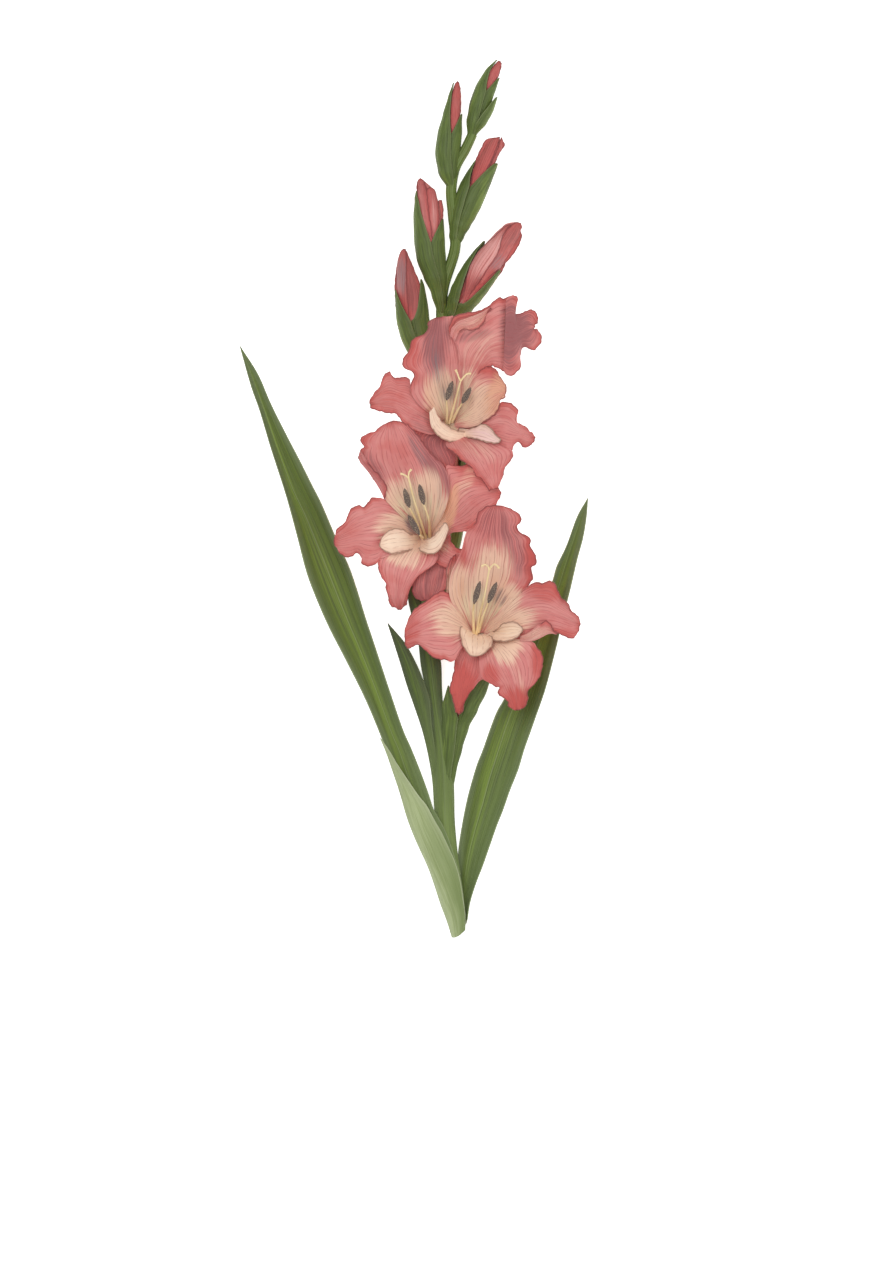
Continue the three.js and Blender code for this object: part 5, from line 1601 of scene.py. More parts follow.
LOW_WASHES = washes({
    # Painted shade: darker bands on the hood.
    Tint.PAINTED_SHADE: {"hood": ((494, 524, 26, 22, 0, 0.45), (515, 552, 15, 34, -16, 0.45))},
    Tint.BLUSH: {
        "hood": ((486, 522, 30, 22, 0, 0.45), (533, 560, 13, 44, -4, 0.9), (463, 556, 5, 24, 0, 0.6)),
        "upper_left": ((452, 556, 10, 12, 0, 0.4),),
        "lip": ((518, 702, 26, 20, 0, 0.8), (539, 662, 11, 28, 0, 0.75), (490, 676, 13, 16, 0, 0.8)),
        "pointed": ((462, 690, 24, 38, 0, 1.0),),
        "right_wing": ((562, 634, 22, 8, 0, 0.6), (546, 592, 26, 13, 10, 0.65)),
        "left_wing": ((411, 636, 12, 30, 12, 0.6),),
    },
    Tint.CREAM: {
        "hood": ((492, 568, 25, 31, 4, 0.78), (482, 596, 34, 34, 0, 0.85), (457, 590, 16, 34, 0, 0.8)),
        "hood right_wing": ((508, 600, 16, 20, 30, 0.9),),
        "upper_left": ((457, 596, 18, 34, -12, 0.9),),
        "left_wing": ((454, 622, 32, 22, 12, 0.82),),
        "right_wing right_fold": ((508, 622, 36, 16, -14, 0.85),),
        "right_fold": ((536, 634, 24, 8, -14, 0.4),),
        "lip": ((506, 648, 20, 20, 0, 0.95), (517, 672, 5, 30, -20, 0.25)),
    },
    Tint.PEACH: {
        "hood": ((460, 590, 9, 26, 0, 0.35), (498, 590, 16, 22, 0, 0.35)),
        "right_lobe": ((506, 632, 18, 14, 0, 0.45),),
    },
    Tint.TAN: {
        "hood upper_left": ((481, 608, 26, 28, 14, 0.65),),
        "right_wing": ((484, 624, 14, 14, 0, 0.3),),
        "left_lobe right_lobe": ((482, 630, 14, 8, 0, 0.35),),
    },
    # Painted shade: the deepest shade on the hood, down in the throat.
    Tint.MAUVE: {"hood": ((500, 597, 9, 12, 0, 0.45),)},
})
LOW_TEPALS = {
    "hood": Blade(
        left=((470, 628, 20), (459, 613, 31), (451, 600, 39), (449, 588, 43), (451, 574, 46),
            (457, 561, 49), (462, 549, 51), (464.5, 538, 53), (467.5, 530, 54.5), (472, 527, 55),
            (475.5, 521, 56), (477.5, 514, 57), (482, 510, 57.5), (488, 507.5, 58)),
        rib=((477, 632, 20), (483, 600, 31), (489, 560, 43), (492, 530, 53), (496, 505.5, 58)),
        right=((486, 632, 20), (503, 612, 36), (517, 596, 45), (528, 586, 49), (533, 579, 51.5),
            (532, 573, 52), (531.5, 568, 52.5), (535.5, 564, 53), (535.5, 557, 53.5), (532, 551, 53.5),
            (529.5, 547, 53.5), (530.5, 541, 54), (527, 536, 54.5), (520, 531.5, 55.5), (517, 527, 56),
            (520.5, 523, 56.5), (521, 517, 57), (516, 512, 57.5), (509, 509.5, 58), (504, 507.5, 58)),
        plain=(0.72, 0.3),
    ),
    "upper_left": Blade(
        left=((470, 630, 18), (455, 613, 30), (447.5, 600, 38), (445.5, 588, 41), (446, 577, 43),
            (448.5, 566, 45), (451, 558, 46)),
        rib=((472, 628, 18), (463, 605, 27), (456, 580, 38), (455, 555, 45)),
        right=((474, 626, 18), (469, 603, 25), (467, 580, 33), (465, 563, 41), (461, 553, 45)),
        plain=(0.5, 1.0),
    ),
    "left_wing": Blade(
        left=((470, 628, 21), (457, 607, 34), (449, 594, 39), (442, 591, 41.5), (436, 594, 44),
            (428, 599.5, 46), (420, 605, 46), (413, 611, 44), (408.5, 617, 42.5), (406, 623, 41.5)),
        rib=((474, 634, 20), (458, 628, 34), (440, 625, 42), (420, 630, 44), (404.5, 637, 40)),
        right=((474, 637, 21), (464, 645, 35), (459, 653, 40), (455, 660, 42), (450, 661.5, 42.5),
            (444, 659.5, 42), (440, 660, 41.5), (435, 658, 41), (430.5, 655.5, 41), (427.5, 650.5, 40.5),
            (422, 646.5, 40), (416, 645.5, 39.5), (411, 649, 38.5), (406.5, 649.5, 38)),
        plain=(0.3, 0.4),
    ),
    "right_wing": Blade(
        left=((484, 628, 20), (499, 611, 35), (513, 597, 43), (525, 588, 47), (532, 583.5, 49),
            (537, 582, 50), (541, 584, 50.5), (546, 582, 50.5), (551, 581.5, 50), (555, 584.5, 49.5),
            (557.5, 590, 49), (561, 596.5, 48), (566, 600.5, 47), (569.5, 605, 46), (571, 610, 45),
            (574.5, 614, 43.5), (578.5, 617, 42)),
        rib=((484, 634, 20), (505, 622, 34), (525, 612, 42), (545, 610, 45), (562, 616, 43),
            (580, 625, 40)),
        right=((486, 637, 20), (505, 640, 33), (523, 641.5, 38), (535, 640, 40), (542, 637, 41),
            (549, 633.5, 42), (557, 633.5, 42), (563, 636, 41.5), (569, 638.5, 40), (574, 638, 39),
            (577.5, 633, 39)),
        plain=(0.4, 0.3),
    ),
    "lip": Blade(
        left=((478, 638, 20), (479, 653, 31), (479.5, 667, 34.5), (481.5, 677.5, 36), (489, 682.5, 37),
            (495, 686.5, 37.3), (499, 688, 37), (497.5, 693.5, 36.5), (502, 697, 36), (506.5, 701, 35),
            (508, 706, 33.5), (513, 709.5, 32)),
        rib=((484, 637, 20), (497, 650, 35), (508, 670, 39), (515, 690, 36), (518.5, 710, 31.5)),
        right=((488, 636, 20), (508, 639, 34), (524, 639, 38.5), (533, 642.5, 39), (537.5, 648, 39.5),
            (541.5, 653, 39.5), (543, 660, 39), (542, 668, 38.5), (540, 676, 38), (535.5, 682.5, 37.5),
            (531.5, 687, 37), (528, 692, 36.5), (528.5, 698, 35.5), (527, 704, 34), (523.5, 708, 32.5)),
        plain=(0.5, 0.35),
    ),
    "pointed": Blade(
        left=((474, 638, 20), (461, 648, 27), (455, 660, 29), (453.5, 672, 29.5), (451.5, 681, 30),
            (449.5, 689, 30), (451.5, 697, 29), (454.5, 706, 28), (457, 712, 27)),
        rib=((478, 638, 20), (472, 652, 27), (465, 682, 29), (459, 714.5, 26)),
        right=((482, 638, 20), (486, 655, 28), (489, 670, 30), (487, 678, 30.5), (481, 680, 30),
            (476, 684.5, 30), (472, 691, 29.5), (468, 698, 29), (463.5, 706, 28), (460.5, 712, 27)),
        plain=(0.3, 0.6),
    ),
    "right_fold": Blade(
        left=((520, 636, 40), (528, 633, 42.5), (534, 628.5, 44.5), (540, 624, 46), (546, 621, 46.5),
            (550, 624, 46), (553, 629, 45.2), (557, 634, 43.5)),
        rib=(),
        right=((520, 641, 39), (530, 641.5, 40), (537, 639.5, 41.5), (543, 636.5, 42.5), (548, 634, 43),
            (552, 633.7, 43.2), (556, 634.5, 43)),
        plain=(0.4, 1.0),
    ),
}
LOW_LOBES = {
    "left": Blade(
        left=((472, 632, 20), (461.5, 626, 31), (460, 634, 35.5), (462, 643, 38), (466, 651, 39.5),
            (471, 655.5, 40)),
        rib=((478, 634, 19.5), (476, 645, 33.5), (475, 656.5, 40)),
        right=((484, 634, 20), (491, 636, 31), (493, 641, 36), (491, 646.5, 38.5), (486, 652, 40),
            (479.5, 656, 40)),
    ),
    "right": Blade(
        left=((484, 637, 19.5), (493, 640.5, 34), (503, 641.5, 39.5), (511, 640.5, 42), (517.5, 637, 43.5),
            (521, 633.5, 44)),
        rib=((486, 633, 19.5), (503, 631, 37), (522.5, 630.5, 44)),
        right=((486, 629, 20), (494.5, 631, 32), (500, 625.5, 38.5), (505.5, 622.5, 41.5),
            (512, 621.5, 43.5), (518, 623.5, 44), (522, 627.5, 44.3)),
    ),
}
LOW_BLOOM = Bloom(
    node="bloom_low",
    tube=((453, 745, 9), (458, 720, 10.5), (465, 695, 11.5), (472, 668, 12), (477, 648, 13.5),
        (478.5, 636, 17.5), (478.5, 633, 21.6)),
    tepals=LOW_TEPALS,
    lobes=LOW_LOBES,
    washes=LOW_WASHES,
    style=Style(
        path=((476.5, 634, 22.1), (479.5, 617, 33), (484.5, 595, 46), (489, 570.5, 52)),
        branches=(((488, 567, 53), (485, 564.8, 53.5), (481.5, 566.5, 53)),
                  ((491.5, 566.5, 53), (495, 564.5, 53.5), (499, 568.5, 53))),
    ),
    stamens={
        "left": Stamen(((474, 633, 22.1), (473, 615, 36), (474, 604, 44)), (480, 581.5, 49)),
        "right": Stamen(((478.5, 632, 22.1), (483, 616, 37), (488, 603, 44)), (496.5, 582.5, 49)),
    },
    axis=((446.5, 788, 6.2), (449.5, 768, 7.4), (453, 748, 8.8), (456.5, 725, 10), (462, 703, 11.5),
        (469, 682, 13), (475, 662, 14.5), (479, 645, 16)),
    half_widths=(4, 4.6, 6.6, 9.8, 14.4, 17, 17, 16),
    parting=(0.49, 0.67, 0.91),
    fullness=2.4,
)
MID_WASHES = washes({
    # Painted shade on the hood, along its folded margin and over the back tepal, which lies under the
    # others.
    Tint.PAINTED_SHADE: {
        "hood": ((375, 466, 8, 24, -36, 0.45), (421, 450, 10, 38, -24, 0.5), (438, 474, 12, 32, -24, 0.6)),
        "hood_fold": ((370, 470, 20, 40, -30, 0.3),),
        "back": ((432, 580, 40, 46, 0, 0.55),),
    },
    # Painted shade: the deepest shade on the hood and where it meets the left wing.
    Tint.MAUVE: {
        "hood": ((417, 446, 8, 32, -20, 0.3), (441, 500, 7, 26, -8, 0.2)),
        "hood left_wing": ((412, 525, 8, 13, -24, 0.75),),
    },
    Tint.CREAM: {
        "hood": ((407, 503, 33, 32, -12, 0.92), (432, 494, 17, 32, -16, 0.85)),
        "hood right_wing": ((439, 520, 14, 26, 14, 0.95),),
        "lip lower_right": ((420, 546, 20, 12, 0, 0.9),),
        "left_wing": ((399, 527, 30, 19, 0, 0.85),),
        "lip": ((404, 557, 25, 14, 20, 0.75),),
        "right_wing": ((466, 482, 9, 24, 30, 0.4),),
        "lower_right": ((440, 548, 14, 8, 0, 0.4),),
    },
    Tint.PEACH: {"hood": ((399, 512, 12, 20, -30, 0.3),), "right_wing": ((451, 508, 8, 34, 12, 0.85),)},
    Tint.TAN: {"hood": ((416, 510, 28, 26, -12, 0.65),)},
    Tint.BLUSH: {
        "hood": ((396, 452, 30, 20, 20, 0.25), (366, 438, 12, 8, 0, 0.5)),
        "lip": ((399, 606, 16, 10, 0, 0.4),),
        "left_wing": ((346, 536, 24, 28, 0, 0.3),),
        "right_wing": ((474, 478, 26, 10, 20, 0.35),),
    },
})
MID_TEPALS = {
    "hood": Blade(
        left=((418, 534, 19), (402, 517, 33), (391, 506, 38.5), (385, 499, 40.5), (381, 492, 41),
            (377, 485, 41), (373, 479, 41), (369, 473, 41.5), (364, 467, 42.5), (360, 462, 43),
            (358.5, 457, 43.5), (361, 450, 44.5), (364, 447, 45), (361.5, 443, 45), (360.5, 439, 45.5),
            (365, 435.5, 46), (370, 433, 46.5), (375, 432, 47), (378, 429.5, 47.5), (384, 425.5, 48)),
        rib=((424, 534, 18), (418, 505, 30), (409, 470, 40), (399, 445, 46), (392, 421.5, 48)),
        right=((432, 534, 19), (443, 515, 35), (449, 495, 41), (448, 478, 43), (443, 466, 43.5),
            (436, 459, 43), (430, 452, 43), (424, 444, 44), (418, 436, 45.5), (411, 428, 47),
            (407, 424.5, 47.5), (399, 422.5, 48)),
        plain=(0.3, 0.5),
    ),
    "left_wing": Blade(
        left=((420, 529, 19), (406, 513, 31), (394, 503, 36.5), (385, 499.5, 39), (378, 498, 40.5),
            (372, 498, 41.5), (368.5, 502, 42), (364, 507, 42), (359, 505.5, 42), (353, 507.5, 42),
            (349, 512, 41.5), (347.5, 519, 41), (344, 524, 40.5), (339, 527.5, 39.5), (336, 533, 38.5)),
        rib=((420, 536, 18), (400, 528, 32), (380, 528, 39), (358, 532, 41), (334, 541, 38)),
        right=((418, 540, 19), (400, 549, 32), (386, 557, 36.5), (380, 559, 37), (377, 563, 37.5),
            (372, 566, 37.5), (365, 566, 37.5), (361, 563, 37.5), (361, 558, 37.5), (357, 554, 37.5),
            (352, 556.5, 37), (347, 557.5, 36.5), (340, 553, 36.5), (336, 548, 37)),
        plain=(0.4, 0.4),
    ),
    "lip": Blade(
        left=((419, 537, 18), (402, 545, 30), (389, 551, 34.5), (380, 557, 36), (378, 564, 36.5),
            (379, 571, 36.5), (382, 578, 36), (386, 584, 35.5), (385.5, 589, 35), (388, 595, 34),
            (390, 601, 32.5), (394, 606, 31)),
        rib=((424, 541, 18), (415, 553, 32), (405, 575, 36), (400, 595, 33), (399.5, 610, 28)),
        right=((430, 541, 18), (438, 551, 32), (436, 562, 35), (427, 570, 35.5), (418, 577, 35.5),
            (412.5, 585, 35), (409, 593, 33.5), (407.5, 600, 31.5), (405, 606, 29.5)),
        plain=(0.45, 0.4),
    ),
    "right_wing": Blade(
        left=((432, 531, 19), (446, 505, 34), (449, 485, 38.5), (446, 467, 39), (453, 466.5, 38.5),
            (462, 466, 38), (470, 463.5, 37.5), (477, 468, 36.5), (481, 477.5, 35.5), (487, 480, 35),
            (493, 483, 34.5), (498, 488, 34)),
        rib=((432, 536, 18), (448, 520, 32), (465, 500, 37), (482, 492, 36), (501, 494, 33)),
        right=((434, 540, 19), (445, 538, 30), (452, 533, 33), (460, 532, 34.5), (470, 531, 35),
            (478, 526, 35.5), (483, 520, 35.5), (488, 515, 35), (492, 510, 34), (496, 505, 33.5),
            (499, 500, 33)),
        plain=(0.5, 0.4),
    ),
    "lower_right": Blade(
        left=((434, 536, 19), (443, 531, 28), (449, 534, 30), (452, 545, 31.5), (459, 549, 33),
            (467, 549, 33.5)),
        rib=((432, 541, 18), (444, 547, 29), (453, 553, 32.5), (466, 556, 33)),
        right=((430, 543, 18), (434, 560, 29), (443, 568, 31.5), (452, 568, 32.5), (462, 565, 33)),
        plain=(0.4, 0.4),
    ),
    "back": Blade(
        left=((424, 541, 17), (421, 560, 25), (414, 578, 28), (412.5, 590, 28), (414.5, 597, 28),
            (421, 601, 27.5)),
        rib=((430, 541, 16.5), (434, 560, 26), (431, 580, 29), (428, 600.5, 28)),
        right=((436, 541, 17), (448, 556, 26), (450, 572, 28.5), (446, 588, 28.5), (440, 595, 28.5),
            (434, 599, 28)),
        plain=(0.4, 0.4),
    ),
    "hood_fold": Blade(
        left=((359, 455, 44.6), (360, 462, 44), (364, 467, 43.5), (369, 473, 42.7), (373, 479, 42.2),
            (377, 485, 42), (381, 492, 42), (384.5, 500, 41.5)),
        rib=(),
        right=((361, 451.5, 45.5), (366, 459, 45.8), (370, 465, 45.6), (375, 471, 45.2), (380, 477, 44.6),
            (385, 482, 43.6), (387, 488, 42.8), (386, 495, 42), (385, 500, 41.6)),
        plain=(1.0, 0.1),
    ),
}
MID_LOBES = {
    "left": Blade(
        left=((420, 536, 18), (411, 534.5, 30), (403, 529.5, 36.5), (393, 529, 40), (386, 533, 41.5),
            (381.5, 539, 42)),
        rib=((420, 540, 17.5), (405, 541, 33), (392, 542, 39.5), (379.5, 545, 42)),
        right=((422, 547, 18), (412, 550, 31), (403, 552, 36.5), (393, 554, 39.5), (386, 552, 41.5),
            (381, 548.5, 42)),
    ),
    "right": Blade(
        left=((421, 538, 19), (424, 539.5, 31), (429.5, 538.5, 37), (435.5, 534, 40), (441, 527, 42),
            (444, 523, 43)),
        rib=((421, 541, 19), (428, 546, 36), (437, 543, 40.5), (443.5, 533, 42.5), (447, 524, 43)),
        right=((420, 545, 19), (419, 549.5, 35), (424, 553, 38.5), (431, 554.5, 40), (437, 552.5, 41),
            (441, 548.5, 41.5), (444, 542.5, 42), (446.8, 535.5, 42.5), (449, 529, 43)),
    ),
}
MID_BLOOM = Bloom(
    node="bloom_mid",
    tube=((438, 626, 7.4), (437.5, 609, 9), (435, 590, 10.2), (430.5, 569, 11), (427, 553, 12.5),
        (426, 541, 16), (426, 538.5, 19.6)),
    tepals=MID_TEPALS,
    lobes=MID_LOBES,
    washes=MID_WASHES,
    style=Style(
        path=((426, 538, 20.1), (421, 522, 32), (414, 500, 43), (408.7, 479, 49)),
        branches=(((406.5, 476.5, 50), (403.5, 475, 50), (400.5, 474, 50)),
                  ((408.7, 475.5, 50), (409.3, 472.5, 50), (411.5, 469.8, 50))),
    ),
    stamens={
        "left": Stamen(((422, 538, 20.1), (417, 523, 33), (409.5, 508, 42)), (404.5, 489, 46)),
        "right": Stamen(((430, 537, 20.1), (429, 521, 34), (424, 505, 42)), (419.5, 485, 46)),
        "lower": Stamen(((425, 542, 20.1), (423, 538, 30), (419.5, 535, 37)), (408.5, 515.5, 41)),
    },
    axis=((434, 640, 6.4), (437, 622, 8.2), (436.5, 602, 10), (433, 580, 11.5), (429, 560, 12.5)),
    half_widths=(2.5, 7, 10, 12, 12),
    parting=(0.34, 0.84, 0.94),
)
TOP_WASHES = washes({
    # Painted shade on the hood, the turned fold, the upper right tepal, the back tepal and the left wing.
    Tint.PAINTED_SHADE: {
        "hood": ((435, 342, 17, 44, 0, 0.8),),
        "turned": ((508, 336, 13, 48, 0, 0.8), (518, 331, 22, 26, 0, 0.85)),
        "upper_right": ((506, 330, 9, 40, 0, 0.4), (472, 337, 26, 7, -12, 0.45)),
        "back": ((438, 450, 40, 34, 0, 0.65),),
        "left_wing": ((425, 425, 22, 12, 30, 0.35),),
    },
    # Painted shade: the deepest shade on the hood; on the right lobe this wash is a pale pink.
    Tint.MAUVE: {
        "hood": ((433, 356, 9, 30, 0, 0.25), (438, 370, 9, 22, 0, 0.3), (449, 393, 11, 13, 0, 0.45)),
        "right_lobe": ((486, 436, 24, 12, 20, 0.7),),
    },
    Tint.BLUSH: {
        "turned": ((512, 302, 12, 12, 0, 0.5), (512, 370, 14, 8, 0, 0.6), (532, 318, 12, 10, 0, 0.6)),
        "right_bowl": ((494, 376, 22, 12, 30, 0.55),),
        "left_wing": ((392, 392, 30, 24, 0, 0.35),),
        "hood": ((411, 354, 15, 28, 0, 0.6),),
        "upper_right": ((506, 303, 14, 10, 0, 0.5),),
    },
    Tint.CREAM: {
        "hood": ((442, 396, 22, 33, 0, 0.95),),
        "upper_right": ((465, 394, 14, 30, 10, 0.9), (480, 350, 32, 22, -25, 0.2)),
        "right_bowl": ((477, 407, 24, 34, 20, 0.9),),
        "crest": ((470, 322, 34, 18, -20, 0.28),),
        "lip": ((478, 450, 26, 12, 30, 0.2),),
    },
    Tint.PEACH: {"hood": ((430, 398, 9, 24, 0, 0.3),), "right_bowl": ((498, 394, 15, 34, 20, 0.75),)},
    Tint.TAN: {
        "upper_right": ((462, 396, 10, 24, 10, 0.4),),
        "hood right_bowl": ((454, 404, 22, 28, 10, 0.55),),
        "left_lobe right_lobe": ((456, 430, 14, 6, 0, 0.2),),
    },
})
TOP_TEPALS = {
    "hood": Blade(
        left=((442, 420, 27), (427, 412, 41), (416, 402, 48), (411, 392, 51), (411, 384, 52),
            (413.5, 377, 53), (411, 371.5, 53.5), (405, 369.5, 54), (402.5, 364, 54.5), (405, 357, 55),
            (409, 352, 55.5), (410.5, 345, 56), (413, 340, 56.5), (419, 337, 57), (425, 334, 57.5),
            (428, 329, 58), (428, 323, 58), (433, 319.5, 58)),
        rib=((448, 420, 26), (446, 395, 37), (441, 365, 49), (440, 340, 56), (441, 318, 58)),
        right=((457, 418, 27), (463, 395, 38), (462, 372, 46), (459, 350, 51), (456, 335, 54),
            (453, 317, 57)),
        plain=(0.3, 1.0),
    ),
    "upper_right": Blade(
        left=((452, 410, 30), (456, 390, 39), (458, 368, 47.5), (458, 355, 52), (455, 343, 56),
            (450, 335, 58), (450, 326, 58.5), (454, 318, 58.5), (460, 315, 58.5), (470, 313, 58.5),
            (479, 311.3, 58), (487, 307.5, 58), (494, 302, 57.5), (499, 298.5, 57), (504, 299.5, 56),
            (509, 297.5, 55.5), (514, 297, 55), (516, 301, 54), (514, 306, 53.5)),
        rib=((456, 413, 28), (470, 370, 45), (485, 345, 52), (500, 336, 54), (513, 335, 51)),
        right=((461, 413, 28), (470, 390, 38), (480, 372, 44), (492, 366, 47), (498, 368.5, 48),
            (503, 372, 48), (507, 375, 47.5), (511, 375.5, 47), (515, 373, 46.5)),
        plain=(0.4, 0.4),
    ),
    "turned": Blade(
        left=((506, 300, 58), (510, 297.3, 57.6), (514, 296.3, 57), (517.5, 300, 56), (516, 306, 55.5),
            (514.3, 311, 55), (517, 315, 54), (523, 313, 52.5), (530, 310.3, 50.5), (535, 312, 49),
            (537.3, 318, 48), (536, 324, 47.5)),
        rib=((504.5, 337, 56.5), (513, 337, 55), (523, 333, 51.5), (534.5, 328, 47.5)),
        right=((503, 371, 50.5), (506.5, 375.5, 50.5), (511, 376.5, 50), (516, 373.5, 49.5),
            (519.5, 369, 49), (520.8, 362, 48.5), (521, 355, 48), (520.8, 350.5, 47.5), (525, 347.5, 47),
            (530, 349, 46.5), (534, 350.5, 46), (538.5, 347.5, 45.5), (541.5, 342, 45.5), (541, 336, 46),
            (537, 334, 46.5), (533.5, 331, 47)),
        plain=(0.02, 0.02),
    ),
    "right_bowl": Blade(
        left=((456, 417, 27), (466, 397, 35), (467, 383, 39), (470, 375, 41.5), (475, 370, 43.5),
            (481, 367.5, 45), (488, 366.5, 46), (494, 368.5, 46.5), (498.5, 372.5, 47), (500, 377, 47.3),
            (503, 381, 47.5), (505, 386, 47.5)),
        rib=((455, 422, 26), (475, 410, 37), (490, 396, 44.5), (506.5, 391, 47)),
        right=((455, 427, 27), (468, 428, 35), (478, 425.5, 39.5), (486, 421, 43), (493, 416, 45),
            (498, 411, 46), (500, 405, 46.5), (500.5, 401, 46.8), (504, 397, 47)),
        plain=(0.45, 0.4),
    ),
    "left_wing": Blade(
        left=((440, 418, 28), (424, 407, 41), (414, 397, 48), (411, 388, 50), (410, 380, 50.5),
            (405, 377.5, 50.5), (399, 378, 50), (395, 379, 50), (391.5, 376, 49.5), (390, 372.5, 49.5),
            (386, 373.5, 49), (383, 378, 48.5), (381.5, 384, 48), (379, 389, 47.5), (374.5, 394, 46.5),
            (371, 398.5, 46)),
        rib=((443, 424, 26), (425, 415, 40), (405, 403, 47), (388, 398, 48), (369.5, 403, 45)),
        right=((443, 431, 27), (432, 435, 37), (420, 432, 42), (411, 428.5, 45), (404, 425, 46.5),
            (400, 419, 46.5), (396, 415, 46.5), (391, 414, 46), (386, 413.5, 45.5), (381, 411, 45),
            (376, 410, 44.5), (371, 408.5, 44)),
        plain=(0.4, 0.4),
    ),
    "right_wing": Blade(
        left=((457, 423, 27), (476, 420, 36), (490, 413, 42), (498, 405, 44.5), (503, 402.5, 45.5),
            (509, 403, 45.8), (514, 406, 45.5), (518, 411, 45), (517.5, 416.5, 44.5), (516.5, 421.5, 44),
            (521, 424.5, 43.5), (526, 427, 43), (529.5, 432, 42.5), (533.5, 436, 41.5)),
        rib=((460, 430, 26), (480, 430, 37), (500, 426, 43), (516, 432, 44), (535, 440, 41)),
        right=((462, 434, 27), (485, 441, 36), (498, 446, 39.5), (507, 451, 41), (512, 451, 41),
            (514.5, 446, 41), (518, 443.5, 41), (521, 446.5, 40.5), (526, 448, 40.5), (531, 445, 40.5)),
        plain=(0.4, 0.4),
    ),
    "lip": Blade(
        left=((448, 434, 27), (446, 445, 36), (453, 453, 41), (461, 459, 43.5), (466, 464, 44.3),
            (471, 468, 44.5), (474, 472.5, 44.3), (476, 477, 43.8), (481, 479, 43.3), (483, 483, 42.6),
            (486.5, 487, 41.8), (490, 489.5, 41)),
        rib=((455, 433, 26), (468, 447, 38), (480, 465, 43.5), (489, 479, 43), (494, 490, 41)),
        right=((465, 433, 27), (488, 440, 37), (503, 446, 41), (511, 450, 42), (513, 455, 42),
            (510.5, 461, 42), (506.5, 466, 42), (504, 471, 41.5), (504, 477, 41), (501, 482, 40),
            (498, 487, 39)),
        plain=(0.2, 0.5),
    ),
    "back": Blade(
        left=((444, 426, 24), (430, 424, 30), (418, 426, 32), (411, 431, 33), (412, 440, 33),
            (421, 450, 33), (431, 460, 32), (441, 469, 31)),
        rib=((447, 430, 23.5), (432, 440, 31), (434, 453, 32.5), (447, 471, 30)),
        right=((450, 432, 24), (449, 446, 29), (456, 456, 30), (454, 467, 30)),
        plain=(0.4, 0.4),
    ),
    "crest": Blade(
        left=((450, 337, 58.8), (452, 329, 59.6), (459, 322.5, 59.9), (468, 319, 59.9), (477, 315.5, 59.6),
            (485, 311.5, 59.2), (490, 308.5, 58.8)),
        rib=(),
        right=((455, 342, 57.4), (458, 335, 58), (463, 330, 58.2), (470, 331.5, 57.6), (477, 330, 57.2),
            (482, 325.5, 57.2), (486, 319, 57.6), (488, 313, 58), (490.5, 309, 58.4)),
        plain=(1.0, 0.05),
    ),
}
TOP_LOBES = {
    "left": Blade(
        left=((434, 407.5, 43), (438.5, 418, 41), (447.5, 426, 37), (457, 431, 33), (468, 432, 30)),
        rib=((431.5, 410.5, 44), (436, 424, 42), (446, 433, 38), (456, 436, 34), (468, 435, 30)),
        right=((429.5, 413, 45), (431, 426, 43), (438, 436.5, 40), (449, 442, 36), (460, 441, 32),
            (468, 437, 30)),
    ),
    "right": Blade(
        left=((459, 428, 26), (468, 429.5, 34), (476, 427, 40), (483, 424.5, 43), (489, 427, 44.5),
            (494, 433, 45), (500.5, 440, 45.5)),
        rib=((458, 431, 26), (470, 432.5, 34), (484, 433.5, 41), (500, 442, 45)),
        right=((457, 434, 26), (467, 438, 33.5), (476, 439.5, 38.5), (485, 442.5, 42), (493, 444, 44),
            (499, 443.8, 45)),
    ),
}
TOP_BLOOM = Bloom(
    node="bloom_top",
    tube=((459, 512, 9), (457.5, 495, 10.5), (455, 475, 12), (451, 452, 14.5), (449, 437, 18),
        (448.5, 427, 23), (448.5, 424.5, 27.6)),
    tepals=TOP_TEPALS,
    lobes=TOP_LOBES,
    washes=TOP_WASHES,
    style=Style(
        path=((449, 424, 28.1), (453, 410, 38), (457, 395, 47), (460.5, 382, 53)),
        branches=(((458.5, 377.5, 54), (457, 373.5, 54), (455.5, 370.5, 54)),
                  ((463.5, 378, 54), (467, 374.8, 54), (471, 374.5, 54))),
    ),
    stamens={
        "left": Stamen(((446.5, 423, 28.1), (447, 412, 38), (446.5, 401, 46)), (452.5, 382, 50)),
        "right": Stamen(((452, 422, 28.1), (457, 412, 38), (462, 404, 45)), (470.5, 388.5, 50)),
    },
    axis=((459, 522, 8.6), (458, 500, 10), (456, 480, 11.5), (453, 460, 13), (450, 442, 15)),
    half_widths=(2, 6.5, 9, 10.5, 11),
    parting=(0.34, 0.86, 0.94),
    steps=(112, 42),
)
BLOOMS = (LOW_BLOOM, MID_BLOOM, TOP_BLOOM)


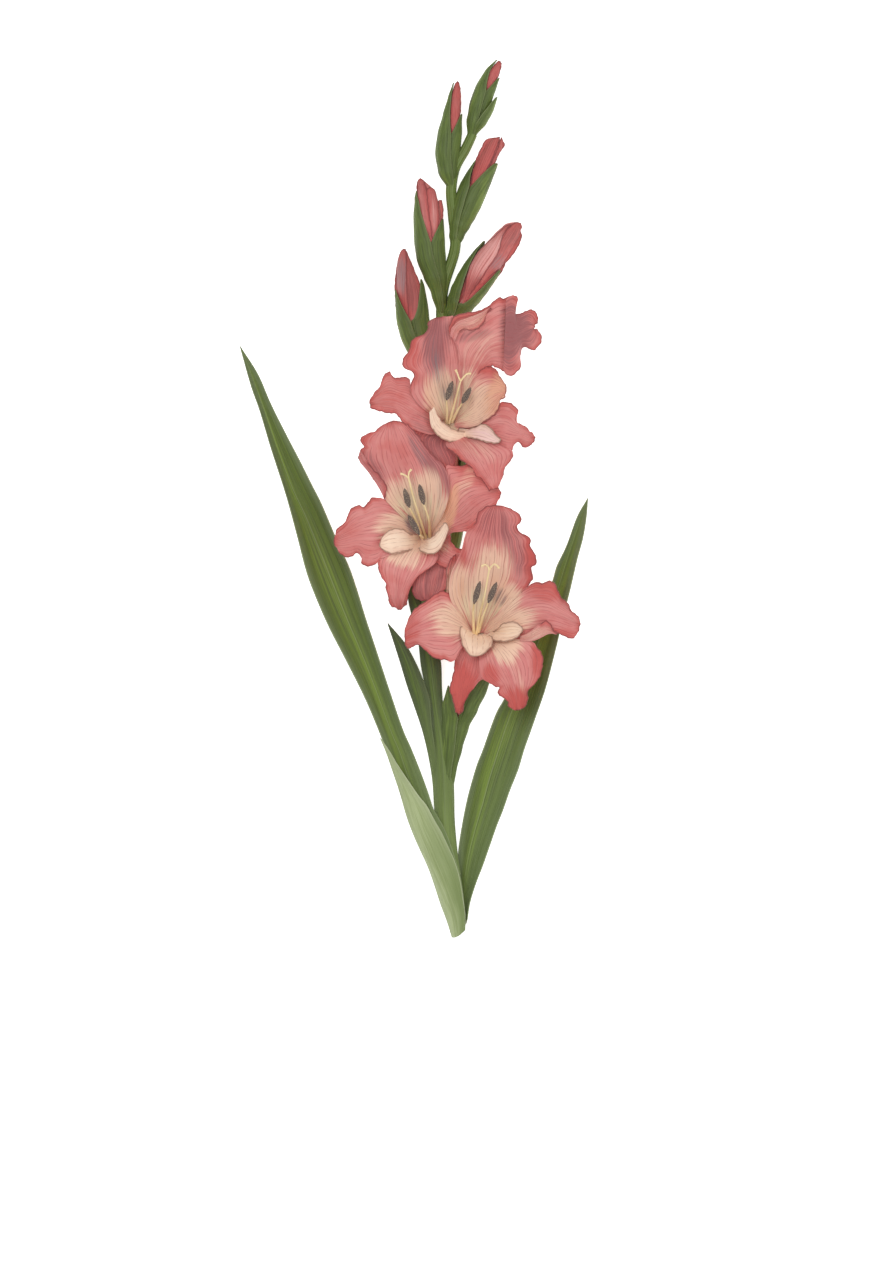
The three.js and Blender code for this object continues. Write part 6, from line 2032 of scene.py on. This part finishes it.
# ------------------------------------------------------------------ stage
@dataclass
class Stage:
    """The pale table, soft studio lights and the camera over the plant."""

    lens_mm: float = 800.0  # a long lens, so that the plant shows as flat as it is drawn
    sensor_mm: float = 36.0  # long side of the sensor
    middle_px: tuple[float, float] = (PICTURE_PX[0] / 2, PICTURE_PX[1] / 2)  # the picture's middle
    table_m: float = 24.0  # size of the table
    drop_m: float = 0.0002  # how far its top lies under the plant
    far_m: float = 100.0  # how far the camera sees
    sky: float = 0.42  # strength of the white light from all round

    def table(self) -> None:
        """Builds the table top, its surface at the plant's lowest point."""
        half = self.table_m / 2
        mesh = bpy.data.meshes.new("table")
        corners = ((-half, -half), (half, -half), (half, half), (-half, half))
        mesh.from_pydata([(x, y, -self.drop_m) for x, y in corners], [], [(0, 1, 2, 3)])
        mesh.materials.append(TableFinish().build())
        top = bpy.data.objects.new("table", mesh)
        bpy.context.scene.collection.objects.link(top)

    def light(self, name: str, place: Point, size: float, watts: float) -> None:
        """One soft square light that faces the plant.

        Args:
            name: The light's name.
            place: Where it hangs, in metres.
            size: Its side in metres.
            watts: Its power.
        """
        lamp = bpy.data.lights.new(name, "AREA")
        lamp.shape, lamp.size, lamp.energy = "SQUARE", size, watts
        hung = bpy.data.objects.new(name, lamp)
        hung.location = place
        hung.rotation_euler = (-hung.location).to_track_quat("-Z", "Y").to_euler()
        hung.visible_camera = False
        bpy.context.scene.collection.objects.link(hung)

    def camera(self) -> None:
        """The camera, straight above the middle of the picture."""
        long_side = max(PICTURE_PX) * MM_PER_PX * METRE
        lens = bpy.data.cameras.new("camera")
        lens.lens, lens.sensor_width, lens.sensor_fit = self.lens_mm, self.sensor_mm, "AUTO"
        eye = bpy.data.objects.new("camera", lens)
        x, y, _ = plan([(*self.middle_px, 0)])[0] * METRE
        eye.location = (x, y, long_side * self.lens_mm / self.sensor_mm)
        lens.clip_end = self.far_m
        bpy.context.scene.collection.objects.link(eye)
        bpy.context.scene.camera = eye

    def build(self) -> None:
        """Builds the stage."""
        self.camera()
        self.table()
        self.light("key", (-0.5, 0.7, 2.8), 1.6, 46)
        self.light("fill", (1.8, -0.8, 2.2), 2.4, 27)
        world = bpy.data.worlds.new("studio")
        world.use_nodes = True
        glow = world.node_tree.nodes["Background"].inputs
        glow["Color"].default_value, glow["Strength"].default_value = (1.0, 1.0, 1.0, 1.0), self.sky
        bpy.context.scene.world = world
        bpy.context.scene.view_settings.view_transform = "Standard"


def main() -> None:
    """Builds the plant piece by piece."""
    logging.basicConfig(level=logging.INFO, format="%(name)s: %(message)s")
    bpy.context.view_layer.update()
    Stage().build()
    studio = Studio.opened()
    Stem().build(studio)
    for leaf in LEAVES:
        leaf.build(studio)
    for bud in BUDS:
        bud.build(studio)
    for bloom in BLOOMS:
        bloom.build(studio)


if __name__ == "__main__":
    main()
